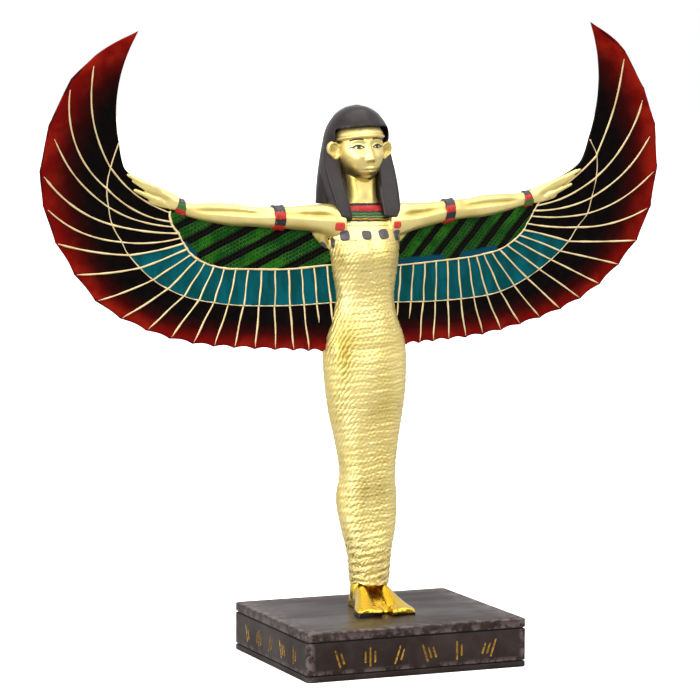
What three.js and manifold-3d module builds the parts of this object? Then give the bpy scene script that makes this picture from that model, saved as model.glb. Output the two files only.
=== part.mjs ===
// Winged goddess statue: a gilt figure with spread arms and raised wings on a dark plinth.
// Millimetres, +Z up. The origin is the centre of the plinth's underside and the figure faces -Y.

import * as THREE from 'three';
import { mergeVertices } from 'three/addons/utils/BufferGeometryUtils.js';
import Module from 'manifold-3d';

const wasm = await Module();
wasm.setup();

// Driving dimensions

const PLINTH = { width: 115.7, depth: 96.5, height: 24, cornerRadius: 1.4, edge: 0.5 };
const GROOVES = [{ bottom: 2.8, height: 0.7 }, { bottom: 18.9, height: 0.8 }];
const GROOVE_DEPTH = 0.8;
const MARK = { height: 9.5, strokeWidth: 1.1, depth: 0.5, centreZ: 10.8 };
const FRONT_MARKS = { first: -41, pitch: 15.7, count: 6 };
const SIDE_MARKS = { first: -31, pitch: 15.5, count: 5 };

const HEM_Z = 36;
const NECK_Z = 236;

// Dress and trunk: height, half width, depth in front of the axis, depth behind it, axis Y
const TRUNK = [
  [36, 9.7, 9.4, 9.6, 12.1],
  [50, 11.2, 10.2, 10.6, 12.5],
  [64, 14.1, 11.0, 12.2, 13.9],
  [78, 15.7, 12.0, 13.0, 16.0],
  [92, 14.4, 12.2, 11.4, 15.5],
  [106, 16.4, 12.8, 12.4, 16.4],
  [120, 19.1, 14.0, 14.0, 17.7],
  [134, 21.0, 14.8, 15.6, 18.2],
  [147, 21.7, 14.5, 16.2, 18.9],
  [158, 21.0, 13.2, 14.8, 20.1],
  [167, 17.8, 11.8, 12.6, 20.2],
  [178, 15.5, 10.6, 11.2, 20.3],
  [190, 17.0, 11.6, 12.0, 20.8],
  [200, 18.4, 11.8, 12.6, 21.0],
  [209, 18.8, 9.9, 12.2, 21.4],
  [216, 18.6, 8.2, 10.4, 22.6],
  [221, 14.8, 7.4, 8.8, 24.4],
  [226, 8.4, 7.0, 7.6, 25.6],
  [236, 6.9, 6.8, 7.2, 27.4]
];
const BREAST = { x: 8.4, z: 200, spread: 6.2, height: 3.6 };
const BELLY = { z: 161, spread: 9, height: 1.2 };
const SEAT = { x: 8.5, z: 146, spread: 8.5, height: 2.4 };
const THIGH_HOLLOW = { low: 52, high: 132, width: 4.5, depth: 1.7 };

// Arm: distance from the middle plane, half height, half depth, axis Y, axis Z
const ARM = [
  [12, 8.4, 7.2, 20.4, 214.5],
  [20, 8.0, 6.8, 20.2, 217.0],
  [28, 6.7, 6.0, 20.6, 218.0],
  [38, 5.7, 5.3, 21.2, 218.8],
  [48, 5.3, 4.9, 22.2, 219.6],
  [58, 4.9, 4.6, 23.8, 220.2],
  [68, 5.5, 4.8, 25.8, 221.2],
  [78, 4.9, 4.4, 27.6, 222.2],
  [88, 3.8, 3.6, 29.4, 223.3],
  [97, 3.5, 3.0, 30.0, 225.7]
];
const ARM_TILT = { height: 1.2, from: 24, run: 30, wrist: 100 };
const ARM_BANDS = [{ from: 43.4, to: 48.6, proud: 0.7 }, { from: 92.2, to: 97.0, proud: 0.6 }];
const PALM = [
  [0, 3.3, 2.8, 96, 226.0],
  [0.5, 4.1, 2.3, 102.5, 228.3],
  [1, 4.5, 1.9, 109.8, 231.3]
];
const FINGERS = [
  { from: [108.5, 234.0], to: [120.4, 239.7], radius: 1.25 },
  { from: [108.8, 232.6], to: [122.0, 239.8], radius: 1.3 },
  { from: [108.8, 231.2], to: [120.4, 237.7], radius: 1.25 },
  { from: [106.0, 227.4], to: [117.8, 232.6], radius: 1.6 }
];
const HAND_LIFT = 1.0;

// Feather lines of each wing, counted from the inner edge (-1) to the one inside the trunk (20): the line,
// its root on the covert edge, its middle on the row edge and its tip, each as distance from the middle
// plane and height, then how far the line bows outwards before and after its middle. The two wings of
// such a figure are modelled by hand, so they aren't mirror images.
const RIGHT_ARM_WING = [
  [-1, 96.1, 225.6, 127.3, 256.0, 121.1, 309.2, 8.7, 5.2],
  [0, 99.4, 221.4, 131.0, 243.5, 142.3, 297.3, 2.7, 5.2],
  [1, 98.8, 217.0, 132.3, 233.8, 153.6, 286.4, 3.2, 8.2],
  [2, 97.7, 214.5, 131.0, 224.5, 163.5, 264.5, 2.0, 4.2],
  [3, 95.0, 211.3, 128.8, 216.0, 166.8, 242.5, 1.1, 4.0],
  [4, 93.9, 209.0, 123.9, 207.5, 164.3, 225.9, 1.4, 3.9],
  [5, 92.4, 206.4, 120.3, 201.1, 157.1, 207.6, 0.7, 1.2],
  [7, 88.5, 200.9, 108.0, 188.9, 137.1, 179.2, 0, 0.8],
  [9, 81.6, 196.6, 92.4, 180.6, 111.5, 164.1, 0, 0],
  [11, 71.8, 193.9, 77.4, 177.1, 88.1, 157.0, 0, 0],
  [13, 59.8, 193.3, 62.5, 175.4, 67.4, 154.5, 0, 0],
  [16, 39.5, 193.0, 39.2, 175.0, 37.6, 152.6, 0, 0],
  [19, 19.8, 194.6, 18.4, 176.0, 16.5, 151.6, 0, 0],
  [20, 11.0, 195.0, 10.5, 176.2, 9.5, 151.0, 0, 0]
];
const LEFT_ARM_WING = [
  [-1, 98.3, 226.8, 127.0, 255.6, 120.5, 315.3, 7.6, 5.4],
  [0, 100.7, 224.2, 131.6, 247.3, 140.9, 301.2, 1.9, 2.6],
  [1, 99.6, 221.9, 132.5, 236.3, 154.3, 281.9, 2.6, 5.4],
  [2, 97.9, 219.4, 130.8, 225.6, 162.9, 263.7, 2.0, 4.9],
  [3, 96.5, 216.6, 128.8, 217.3, 166.8, 241.5, 1.2, 3.9],
  [4, 93.9, 212.9, 123.3, 210.4, 165.3, 221.1, 0.8, 3.3],
  [5, 92.0, 209.6, 118.3, 203.2, 158.6, 203.0, -0.4, 0.4],
  [7, 86.4, 204.6, 108.3, 194.0, 137.2, 180.6, 0, 0],
  [9, 77.9, 200.0, 94.3, 185.0, 114.3, 168.2, 0, 0],
  [11, 68.6, 198.0, 78.4, 178.6, 90.4, 161.1, 0, 0],
  [13, 59.4, 196.6, 62.4, 176.2, 67.9, 156.8, 0, 0],
  [16, 40.6, 195.2, 39.8, 175.2, 38.1, 154.7, 0, 0],
  [19, 20.2, 193.8, 18.2, 175.4, 15.5, 153.6, 0, 0],
  [20, 11.0, 193.6, 10.5, 175.6, 9.5, 153.0, 0, 0]
];
const WING = {
  firstLine: -1,
  lastLine: 20,
  rootDepth: 21,
  sweep: 9,
  span: 110,
  lean: 0.1,
  curl: 18,
  curlReach: 91,
  thickness: 3.0,
  tipThickness: 1.8,
  innerEdge: 0.5,
  covertStep: 0.7,
  rowStep: 0.6,
  ridge: 0.45,
  notch: 1.1
};
// Stations along a feather line: 0 under the arm, 1 root, 2 middle, 3 tip
const WING_STATIONS = [0, 1, 1.04, 1.6, 2, 2.04, 2.35, 2.7, 3];

const HEAD = { y: 27.5, eyeZ: 252.7, crownZ: 268.5, chinZ: 237, halfWidth: 12.2, front: 13.3, back: 13.5 };
const HEADBAND = { bottom: 257.4, top: 262.4, proud: 0.6 };
const WIG_CLIP = { y: 27, z: 262.4 };
// Wig: height, half width, half depth, axis Y
const WIG = [
  [224.5, 20.4, 11.5, 33.6],
  [236, 19.7, 13.0, 33.2],
  [247, 18.1, 14.4, 33.0],
  [255, 16.8, 15.8, 31.8],
  [262, 15.4, 16.2, 30.3],
  [268.8, 10.9, 11.8, 30.3],
  [272.4, 5.4, 6.4, 30.4],
  [273.6, 0.6, 0.8, 30.5]
];
// Lappet on each shoulder: height, inner X, outer X, front Y, back Y
const LAPPET = [
  [217.8, 8.5, 17.1, 13.6, 24],
  [224, 8.9, 17.2, 15.4, 27],
  [234, 9.8, 17.3, 19.2, 31],
  [244, 10.6, 17.2, 24.4, 33],
  [252, 11.2, 16.6, 28.6, 34]
];
const EAR = { x: 13.6, y: 26.6, z: 251.3, radii: [2.9, 1.9, 4.3] };
const COLLAR = { top: 225.2, bottom: 216.2, proud: 0.8 };

// Each foot: ankle X, toe-end X and Y; the feet turn a little towards the viewer's left
const ANKLE_Y = 12.5;
const FEET = [
  { ankleX: -4.9, toeX: -11.4, toeY: -16.4, inner: 1 },
  { ankleX: 4.7, toeX: 5.7, toeY: -18.6, inner: -1 }
];
// Foot from heel to toes: share of the length, half width, height
const FOOT = [
  [0, 2.6, 4.5],
  [0.08, 4.1, 8.5],
  [0.22, 4.6, 12.5],
  [0.4, 4.7, 11.8],
  [0.6, 5.4, 8.6],
  [0.82, 6.6, 5.4],
  [1, 6.2, 3.6]
];
const HEEL_Y = 20.5;
const TOE_COUNT = 5;

const GOLD_PAINT = new THREE.MeshStandardMaterial({ color: 0xe6cf66, roughness: 0.32, metalness: 0.85 });
const DARK_PAINT = new THREE.MeshStandardMaterial({ color: 0x2e2022, roughness: 0.45, metalness: 0 });

// Shared helpers

const TURN = Math.PI * 2;

function mix(a, b, share) {
  return a + (b - a) * share;
}

function ease(share) {
  const t = THREE.MathUtils.clamp(share, 0, 1);
  return t * t * (3 - 2 * t);
}

function bump(distance, spread) {
  return Math.exp(-0.5 * (distance / spread) ** 2);
}

// Smooth curve through the rows of a table, read at one value of its first column
function read(table, at) {
  let i = 0;
  while (i < table.length - 2 && at > table[i + 1][0]) i += 1;
  const before = table[Math.max(i - 1, 0)];
  const start = table[i];
  const end = table[i + 1];
  const after = table[Math.min(i + 2, table.length - 1)];
  const gap = end[0] - start[0];
  const t = THREE.MathUtils.clamp((at - start[0]) / gap, 0, 1);
  return start.slice(1).map((value, column) => {
    const c = column + 1;
    const slopeIn = (end[c] - before[c]) / (end[0] - before[0]) * gap;
    const slopeOut = (after[c] - start[c]) / (after[0] - start[0]) * gap;
    const t2 = t * t;
    const t3 = t2 * t;
    return (2 * t3 - 3 * t2 + 1) * value + (t3 - 2 * t2 + t) * slopeIn
      + (3 * t2 - 2 * t3) * end[c] + (t3 - t2) * slopeOut;
  });
}

// Closed geometry to a solid, its faces turned outwards
function solid(geometry) {
  geometry.deleteAttribute('normal');
  geometry.deleteAttribute('uv');
  const merged = mergeVertices(geometry, 1e-4);
  const points = merged.attributes.position;
  const corners = Uint32Array.from(merged.index.array);
  let volume = 0;
  const [a, b, c] = [new THREE.Vector3(), new THREE.Vector3(), new THREE.Vector3()];
  for (let i = 0; i < corners.length; i += 3) {
    a.fromBufferAttribute(points, corners[i]);
    b.fromBufferAttribute(points, corners[i + 1]);
    c.fromBufferAttribute(points, corners[i + 2]);
    volume += a.dot(b.cross(c));
  }
  if (volume < 0) {
    for (let i = 0; i < corners.length; i += 3) {
      [corners[i], corners[i + 1]] = [corners[i + 1], corners[i]];
    }
  }
  const mesh = new wasm.Mesh({
    numProp: 3,
    vertProperties: Float32Array.from(points.array),
    triVerts: corners
  });
  return new wasm.Manifold(mesh);
}

function moved(geometry, place) {
  const points = geometry.attributes.position;
  for (let i = 0; i < points.count; i += 1) {
    points.setXYZ(i, ...place(points.getX(i), points.getY(i), points.getZ(i)));
  }
  return solid(geometry);
}

// Skin over rings: place(along 0..1, turn 0..1 from the front towards +X, reach 0 at an end's centre)
function skin(rings, sides, place) {
  return moved(new THREE.CylinderGeometry(1, 1, 1, sides, rings), (x, y, z) => {
    const reach = Math.hypot(x, z) > 0.5 ? 1 : 0;
    const step = (Math.round(Math.atan2(x, z) / TURN * sides) + sides) % sides;
    return place(y + 0.5, step / sides, reach);
  });
}

function ball(columns, rows, place) {
  return moved(new THREE.SphereGeometry(1, columns, rows), place);
}

function block(from, to) {
  const geometry = new THREE.BoxGeometry(to[0] - from[0], to[1] - from[1], to[2] - from[2]);
  geometry.translate((from[0] + to[0]) / 2, (from[1] + to[1]) / 2, (from[2] + to[2]) / 2);
  return solid(geometry);
}

function joined(parts) {
  return parts.reduce((whole, part) => whole.add(part));
}

// Plinth

function plinthOutline(inset) {
  const x = PLINTH.width / 2 - inset;
  const y = PLINTH.depth / 2 - inset;
  const r = PLINTH.cornerRadius;
  const shape = new THREE.Shape();
  shape.absarc(x - r, y - r, r, 0, TURN / 4);
  shape.absarc(-x + r, y - r, r, TURN / 4, TURN / 2);
  shape.absarc(-x + r, -y + r, r, TURN / 2, TURN * 0.75);
  shape.absarc(x - r, -y + r, r, TURN * 0.75, TURN);
  return shape;
}

function slab(inset, bottom, height, edge) {
  const bevel = edge > 0;
  const geometry = new THREE.ExtrudeGeometry(plinthOutline(inset + edge), {
    depth: height - 2 * edge,
    curveSegments: 2,
    bevelEnabled: bevel,
    bevelSegments: 1,
    bevelSize: edge,
    bevelThickness: edge
  });
  geometry.translate(0, 0, bottom + edge);
  return solid(geometry);
}

// A mark is a short row of parallel slanted strokes, as many and as steep as its place in the row says
function markStrokes(index, centre) {
  const count = 2 + index % 2;
  const slant = (index % 3 - 1) * 0.32;
  const gap = MARK.strokeWidth * 2.3;
  const strokes = [];
  for (let i = 0; i < count; i += 1) {
    const long = MARK.height * (i === index % count ? 1 : 0.62);
    const stroke = new THREE.BoxGeometry(MARK.strokeWidth, 2 * MARK.depth, long);
    stroke.rotateY(slant);
    stroke.translate(centre + (i - (count - 1) / 2) * gap, 0, MARK.centreZ);
    strokes.push(stroke);
  }
  return strokes;
}

function markRow(row, turn, faceDistance) {
  const cuts = [];
  for (let i = 0; i < row.count; i += 1) {
    for (const stroke of markStrokes(i, row.first + i * row.pitch)) {
      stroke.translate(0, -faceDistance, 0);
      stroke.rotateZ(turn);
      cuts.push(solid(stroke));
    }
  }
  return cuts;
}

function plinthSolid() {
  let body = slab(0, 0, PLINTH.height, PLINTH.edge);
  for (const groove of GROOVES) {
    const ring = slab(-2, groove.bottom, groove.height, 0)
      .subtract(slab(GROOVE_DEPTH, groove.bottom - 1, groove.height + 2, 0));
    body = body.subtract(ring);
  }
  const cuts = [
    ...markRow(FRONT_MARKS, 0, PLINTH.depth / 2),
    ...markRow(SIDE_MARKS, -TURN / 4, PLINTH.width / 2)
  ];
  return body.subtract(joined(cuts));
}

// Trunk and dress

function trunkPoint(z, turn, reach) {
  const [halfWidth, front, back, axis] = read(TRUNK, z);
  const angle = turn * TURN;
  const side = Math.sin(angle);
  const ahead = Math.cos(angle);
  const x = halfWidth * side * reach;
  let y = axis - (ahead > 0 ? front : back) * ahead * reach;
  if (reach > 0 && ahead > 0) {
    const breast = Math.max(bump(x - BREAST.x, BREAST.spread), bump(x + BREAST.x, BREAST.spread));
    y -= ahead * BREAST.height * breast * bump(z - BREAST.z, BREAST.spread);
    y -= ahead * BELLY.height * bump(z - BELLY.z, BELLY.spread);
    const length = ease((z - THIGH_HOLLOW.low) / 16) * ease((THIGH_HOLLOW.high - z) / 16);
    y += THIGH_HOLLOW.depth * length * bump(x, THIGH_HOLLOW.width);
  } else if (reach > 0) {
    const seat = Math.max(bump(x - SEAT.x, SEAT.spread), bump(x + SEAT.x, SEAT.spread));
    y -= ahead * SEAT.height * seat * bump(z - SEAT.z, SEAT.spread);
  }
  return [x, y, z];
}

function trunk() {
  return skin(26, 20, (along, turn, reach) => trunkPoint(mix(HEM_Z, NECK_Z, along), turn, reach));
}

function collar() {
  return skin(2, 20, (along, turn, reach) => {
    const z = mix(COLLAR.bottom, COLLAR.top, along);
    const [x, y] = trunkPoint(z, turn, reach);
    const grow = COLLAR.proud * reach * (along < 0.25 ? 0.4 : 1);
    return [x + grow * Math.sin(turn * TURN), y - grow * Math.cos(turn * TURN), z];
  });
}

// Arms and hands; side is -1 for the viewer's left and 1 for the viewer's right

// The arm on the viewer's right is held a little higher between shoulder and wrist
function armTilt(distance, side) {
  const { height, from, wrist, run } = ARM_TILT;
  return side * height * ease((distance - from) / run) * ease((wrist - distance) / (wrist - 88));
}

function limb(table, side, from, to, rings, sides, proud) {
  return skin(rings, sides, (along, turn, reach) => {
    const at = mix(from, to, along);
    const [halfHeight, halfDepth, y, z] = read(table, at);
    const angle = turn * TURN;
    return [
      side * at,
      y - (halfDepth + proud) * Math.cos(angle) * reach,
      z + armTilt(at, side) + (halfHeight + proud) * Math.sin(angle) * reach
    ];
  });
}

function arm(side) {
  const bands = ARM_BANDS.map((band) => limb(ARM, side, band.from, band.to, 1, 10, band.proud));
  return joined([limb(ARM, side, 12, 97, 11, 10, 0), ...bands]);
}

function wingDepth(x, z) {
  const rise = Math.max(0, 0.35 * (x - 97) + 0.94 * (z - 224));
  const lean = WING.lean * Math.max(0, 195 - z) * Math.max(0, 1 - x / 150);
  return WING.rootDepth + WING.sweep * ease(x / WING.span) - lean
    - WING.curl * (rise / WING.curlReach) ** 1.35;
}

function palm(side) {
  return skin(3, 10, (along, turn, reach) => {
    const [halfHeight, halfDepth, x, z] = read(PALM, along);
    const angle = turn * TURN;
    const lean = (halfHeight * Math.sin(angle)) * 0.35 * reach;
    return [
      side * (x - lean),
      wingDepth(x, z) - HAND_LIFT - halfDepth * Math.cos(angle) * reach,
      z + armTilt(x, side) + halfHeight * Math.sin(angle) * reach
    ];
  });
}

function finger(side, { from, to, radius }) {
  const run = new THREE.Vector2(to[0] - from[0], to[1] - from[1]);
  const length = run.length();
  run.normalize();
  return skin(2, 6, (along, turn, reach) => {
    const taper = radius * (along > 0.9 ? 0.5 : 1 - 0.15 * along);
    const angle = turn * TURN;
    const across = taper * Math.sin(angle) * reach;
    const x = from[0] + run.x * length * along - run.y * across;
    const z = from[1] + run.y * length * along + run.x * across;
    return [
      side * x,
      wingDepth(x, z) - HAND_LIFT - 0.3 - taper * Math.cos(angle) * reach,
      z + armTilt(x, side)
    ];
  });
}

function hand(side) {
  return joined([palm(side), ...FINGERS.map((shape) => finger(side, shape))]);
}

// Wings

function bowed(from, to, bow, share) {
  const run = new THREE.Vector2(to[0] - from[0], to[1] - from[1]);
  const across = bow * 4 * share * (1 - share) / run.length();
  return [mix(from[0], to[0], share) + run.y * across, mix(from[1], to[1], share) - run.x * across];
}

// Point of the wing's plan at a feather line and station, as distance from the middle plane and height
function wingPlan(lines, side, line, station) {
  const [rootX, rootZ, midX, midZ, tipX, tipZ, innerBow, bow] = read(lines, line);
  const root = [rootX, rootZ];
  const middle = [midX, midZ];
  const shoulder = Math.min(rootX * 0.97, 96);
  const base = [shoulder, read(ARM, shoulder)[3] + armTilt(shoulder, side)];
  if (station <= 1) return bowed(base, root, 0, station);
  if (station <= 2) return bowed(root, middle, innerBow, station - 1);
  const between = 2 * Math.abs(line - Math.round(line));
  const reach = 1 - between * (WING.notch / Math.hypot(tipX - midX, tipZ - midZ)) * (line > 0 ? 1 : 0);
  return bowed(middle, [tipX, tipZ], bow, (station - 2) * reach);
}

function wing(lines, side) {
  const columns = 2 * (WING.lastLine - WING.firstLine);
  const rows = WING_STATIONS.length - 1;
  const sheet = new THREE.BoxGeometry(1, 1, 1, columns, rows, 1);
  return moved(sheet, (x, y, z) => {
    const line = mix(WING.firstLine, WING.lastLine, x + 0.5);
    const station = WING_STATIONS[Math.round((y + 0.5) * rows)];
    const [out, up] = wingPlan(lines, side, line, station);
    const onLine = Math.abs(line - Math.round(line)) < 0.1;
    const ridge = onLine && station >= 1 && line > WING.firstLine ? WING.ridge : 0;
    const covert = station <= 1 ? WING.covertStep : 0;
    const row = station <= 2 ? WING.rowStep : 0;
    const inward = line < 0 ? 1 + line * (1 - WING.innerEdge) : 1;
    const thickness = mix(WING.thickness, WING.tipThickness, ease(station - 2)) * inward;
    const lift = z > 0 ? covert + row + ridge : -thickness - ridge * 0.6;
    return [side * out, wingDepth(out, up) - lift, up];
  });
}

// Head, wig and ears

function facePush(x, z) {
  const brow = HEAD.eyeZ + 2.2;
  const mouth = mix(HEAD.chinZ, HEAD.eyeZ, 0.37);
  const noseTip = mix(HEAD.chinZ, HEAD.eyeZ, 0.58);
  const eyeX = HEAD.halfWidth * 0.42;
  const eye = Math.abs(x) - eyeX;
  const noseRun = THREE.MathUtils.clamp((brow - z) / (brow - noseTip), 0, 1);
  const nose = (0.4 + 2.6 * noseRun) * bump(x, 1.3 + 0.5 * noseRun) * ease((z - noseTip + 1.6) / 1.6)
    * ease((brow + 2 - z) / 2);
  const socket = -1.3 * bump(eye, 2.9) * bump(z - HEAD.eyeZ, 1.7);
  const lid = 0.8 * bump(eye, 1.9) * bump(z - HEAD.eyeZ, 0.9);
  const lips = 1.0 * bump(x, 2.5) * bump(z - mouth, 1.3);
  const chin = 0.9 * bump(x, 2.6) * bump(z - HEAD.chinZ - 2.2, 1.6);
  const cheek = 0.6 * bump(Math.abs(x) - 6, 2.6) * bump(z - HEAD.eyeZ + 5.5, 3);
  return nose + socket + lid + lips + chin + cheek;
}

function headPoint(direction) {
  const up = direction.z;
  const z = HEAD.eyeZ + up * (up > 0 ? HEAD.crownZ - HEAD.eyeZ : HEAD.eyeZ - HEAD.chinZ);
  const below = Math.max(0, -up);
  const jaw = 1 - 0.12 * below - 0.2 * below ** 4;
  const x = direction.x * HEAD.halfWidth * jaw;
  const front = direction.y < 0 ? HEAD.front : HEAD.back;
  const full = direction.y < 0 ? 1 + 0.12 * Math.sin(Math.PI * Math.min(1, below)) : 1;
  let y = HEAD.y + direction.y * front * full;
  if (direction.y < 0) y -= facePush(x, z) * Math.min(1, -direction.y * 1.6);
  return [x, y, z];
}

function head() {
  const faceFocus = 0.5;
  return ball(22, 18, (x, y, z) => {
    const around = Math.atan2(x, z);
    const angle = around - faceFocus * Math.sin(around);
    const level = Math.hypot(x, z);
    return headPoint(new THREE.Vector3(level * Math.sin(angle), -level * Math.cos(angle), y));
  });
}

function headband() {
  return skin(1, 20, (along, turn, reach) => {
    const z = mix(HEADBAND.bottom, HEADBAND.top, along);
    const level = Math.sqrt(1 - ((z - HEAD.eyeZ) / (HEAD.crownZ - HEAD.eyeZ)) ** 2);
    const angle = turn * TURN;
    return [
      (HEAD.halfWidth * level + 1.2 + HEADBAND.proud) * Math.sin(angle) * reach,
      HEAD.y - (HEAD.front * level + 1.2 + HEADBAND.proud) * Math.cos(angle) * reach,
      z
    ];
  });
}

function ear(side) {
  return ball(8, 6, (x, y, z) => [
    side * (EAR.x + x * EAR.radii[0] + y * 0.9),
    EAR.y + z * EAR.radii[1],
    EAR.z + y * EAR.radii[2]
  ]);
}

function lappet(side) {
  return skin(5, 8, (along, turn, reach) => {
    const z = mix(LAPPET[0][0], LAPPET[LAPPET.length - 1][0], along);
    const [inner, outer, front, back] = read(LAPPET, z);
    const angle = turn * TURN + TURN / 16;
    const square = (value) => Math.sign(value) * Math.min(1, Math.abs(value) * 1.25) * reach;
    return [
      side * mix(inner, outer, 0.5 + 0.5 * square(Math.sin(angle))),
      mix(front, back, 0.5 - 0.5 * square(Math.cos(angle))),
      z
    ];
  });
}

function wig() {
  const shell = skin(12, 20, (along, turn, reach) => {
    const low = WIG[0][0];
    const high = WIG[WIG.length - 1][0];
    const z = low + (high - low) * Math.sin(along * TURN / 4);
    const [halfWidth, halfDepth, y] = read(WIG, z);
    const angle = turn * TURN;
    return [halfWidth * Math.sin(angle) * reach, y - halfDepth * Math.cos(angle) * reach, z];
  });
  const faceWindow = block([-30, -10, WIG[0][0] - 5], [30, WIG_CLIP.y, WIG_CLIP.z]);
  return joined([shell.subtract(faceWindow), lappet(-1), lappet(1)]);
}

// Feet

function foot({ ankleX, toeX, toeY, inner }) {
  const sole = PLINTH.height;
  const length = HEEL_Y - toeY;
  const middleX = (y) => mix(ankleX, toeX, ease((ANKLE_Y - y) / (ANKLE_Y - toeY)) ** 0.8);
  const body = skin(8, 10, (along, turn, reach) => {
    const [halfWidth, height] = read(FOOT, 1 - along);
    const y = HEEL_Y - length * (1 - along);
    const angle = turn * TURN;
    const rise = Math.max(0, -Math.cos(angle)) ** 0.75;
    return [middleX(y) + halfWidth * Math.sin(angle) * reach, y, sole + height * rise * reach];
  });
  const toes = [];
  for (let i = 0; i < TOE_COUNT; i += 1) {
    const big = i === 0 ? 1 : 0;
    const across = inner * mix(4.9, -5.0, i / (TOE_COUNT - 1));
    const radius = 1.45 + 0.5 * big;
    const back = 0.22 * i ** 1.5;
    toes.push(ball(6, 4, (x, y, z) => [
      toeX + across + x * radius,
      toeY + 0.4 + back - z * 2.4,
      Math.max(sole, sole + 2.1 + y * radius)
    ]));
  }
  const ankle = skin(2, 10, (along, turn, reach) => {
    const angle = turn * TURN;
    const radius = 4.6 * reach;
    return [ankleX + radius * Math.sin(angle), ANKLE_Y - radius * Math.cos(angle), mix(sole + 5, HEM_Z + 4, along)];
  });
  return joined([body, ankle, ...toes]);
}

function figureSolid() {
  return joined([
    trunk(),
    collar(),
    head(),
    headband(),
    ear(-1),
    ear(1),
    wig(),
    wing(RIGHT_ARM_WING, -1),
    wing(LEFT_ARM_WING, 1),
    arm(-1),
    arm(1),
    hand(-1),
    hand(1),
    ...FEET.map(foot)
  ]);
}

// Scene

function asMesh(name, body, material) {
  const { vertProperties, triVerts } = body.getMesh();
  const geometry = new THREE.BufferGeometry();
  geometry.setAttribute('position', new THREE.BufferAttribute(vertProperties, 3));
  geometry.setIndex(new THREE.BufferAttribute(triVerts, 1));
  geometry.computeVertexNormals();
  const mesh = new THREE.Mesh(geometry, material);
  mesh.name = name;
  return mesh;
}

const statue = new THREE.Group();
statue.add(asMesh('plinth', plinthSolid(), DARK_PAINT));
statue.add(asMesh('figure', figureSolid(), GOLD_PAINT));

export default statue;
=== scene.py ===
import math
import random

import bpy
import numpy as np
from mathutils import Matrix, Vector
from mathutils.bvhtree import BVHTree


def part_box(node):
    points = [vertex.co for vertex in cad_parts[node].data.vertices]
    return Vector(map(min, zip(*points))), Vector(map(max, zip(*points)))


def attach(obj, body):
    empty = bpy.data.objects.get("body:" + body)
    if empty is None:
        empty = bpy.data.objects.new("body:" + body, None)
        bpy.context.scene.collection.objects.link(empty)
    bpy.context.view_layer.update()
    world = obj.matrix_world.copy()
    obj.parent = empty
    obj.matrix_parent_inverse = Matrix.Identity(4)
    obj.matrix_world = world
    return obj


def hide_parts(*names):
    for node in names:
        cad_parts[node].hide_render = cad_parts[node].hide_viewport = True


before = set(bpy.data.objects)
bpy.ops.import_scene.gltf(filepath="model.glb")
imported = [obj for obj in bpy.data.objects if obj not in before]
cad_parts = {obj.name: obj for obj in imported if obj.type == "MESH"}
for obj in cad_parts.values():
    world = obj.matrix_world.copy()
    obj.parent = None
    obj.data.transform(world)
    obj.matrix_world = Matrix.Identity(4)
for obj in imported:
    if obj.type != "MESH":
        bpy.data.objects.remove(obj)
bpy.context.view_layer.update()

# Winged goddess statue: a gilt figure with painted wings on a dark plinth.
# Tables and sizes are in millimetres in the frame's axes: +Z up, the figure faces -Y.
# Side is -1 for the wing and arm on the viewer's left and 1 for those on the viewer's right.

MM = 0.001
TURN = 2 * math.pi
SIDES = {"right": -1, "left": 1}
RNG = np.random.default_rng(7)

# Sizes shared with the frame

plinth_low, plinth_high = (np.array(corner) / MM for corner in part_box("plinth"))
PLINTH_TOP = plinth_high[2]
PLINTH_HALF = (plinth_high[0], plinth_high[1])
HEM_Z = 36
NECK_Z = 236

# Height, half width, depth in front of the axis, depth behind it, axis Y
TRUNK = [
    (36, 9.7, 9.4, 9.6, 12.1),
    (50, 11.2, 10.2, 10.6, 12.5),
    (64, 14.1, 11.0, 12.2, 13.9),
    (78, 15.7, 12.0, 13.0, 16.0),
    (92, 14.4, 12.2, 11.4, 15.5),
    (106, 16.4, 12.8, 12.4, 16.4),
    (120, 19.1, 14.0, 14.0, 17.7),
    (134, 21.0, 14.8, 15.6, 18.2),
    (147, 21.7, 14.5, 16.2, 18.9),
    (158, 21.0, 13.2, 14.8, 20.1),
    (167, 17.8, 11.8, 12.6, 20.2),
    (178, 15.5, 10.6, 11.2, 20.3),
    (190, 17.0, 11.6, 12.0, 20.8),
    (200, 18.4, 11.8, 12.6, 21.0),
    (209, 18.8, 9.9, 12.2, 21.4),
    (216, 18.6, 8.2, 10.4, 22.6),
    (221, 14.8, 7.4, 8.8, 24.4),
    (226, 9.4, 7.2, 7.6, 25.4),
    (236, 8.4, 6.9, 7.2, 27.0),
]
BREAST = {"x": 8.4, "z": 200, "spread": 6.2, "height": 3.6}
BELLY = {"z": 161, "spread": 9, "height": 1.2}
SEAT = {"x": 8.5, "z": 146, "spread": 8.5, "height": 2.4}
THIGH_HOLLOW = {"low": 52, "high": 132, "width": 4.5, "depth": 1.7}
GROIN = {"x": 11.5, "z": 150, "width": 3.8, "height": 10, "depth": 1.1}
BELLY_FOLD = {"z": 153.5, "spread": 1.8, "reach": 9, "depth": 0.5}
KNEE = {"x": 6.5, "z": 88, "spread": 4.2, "height": 0.7}

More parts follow.
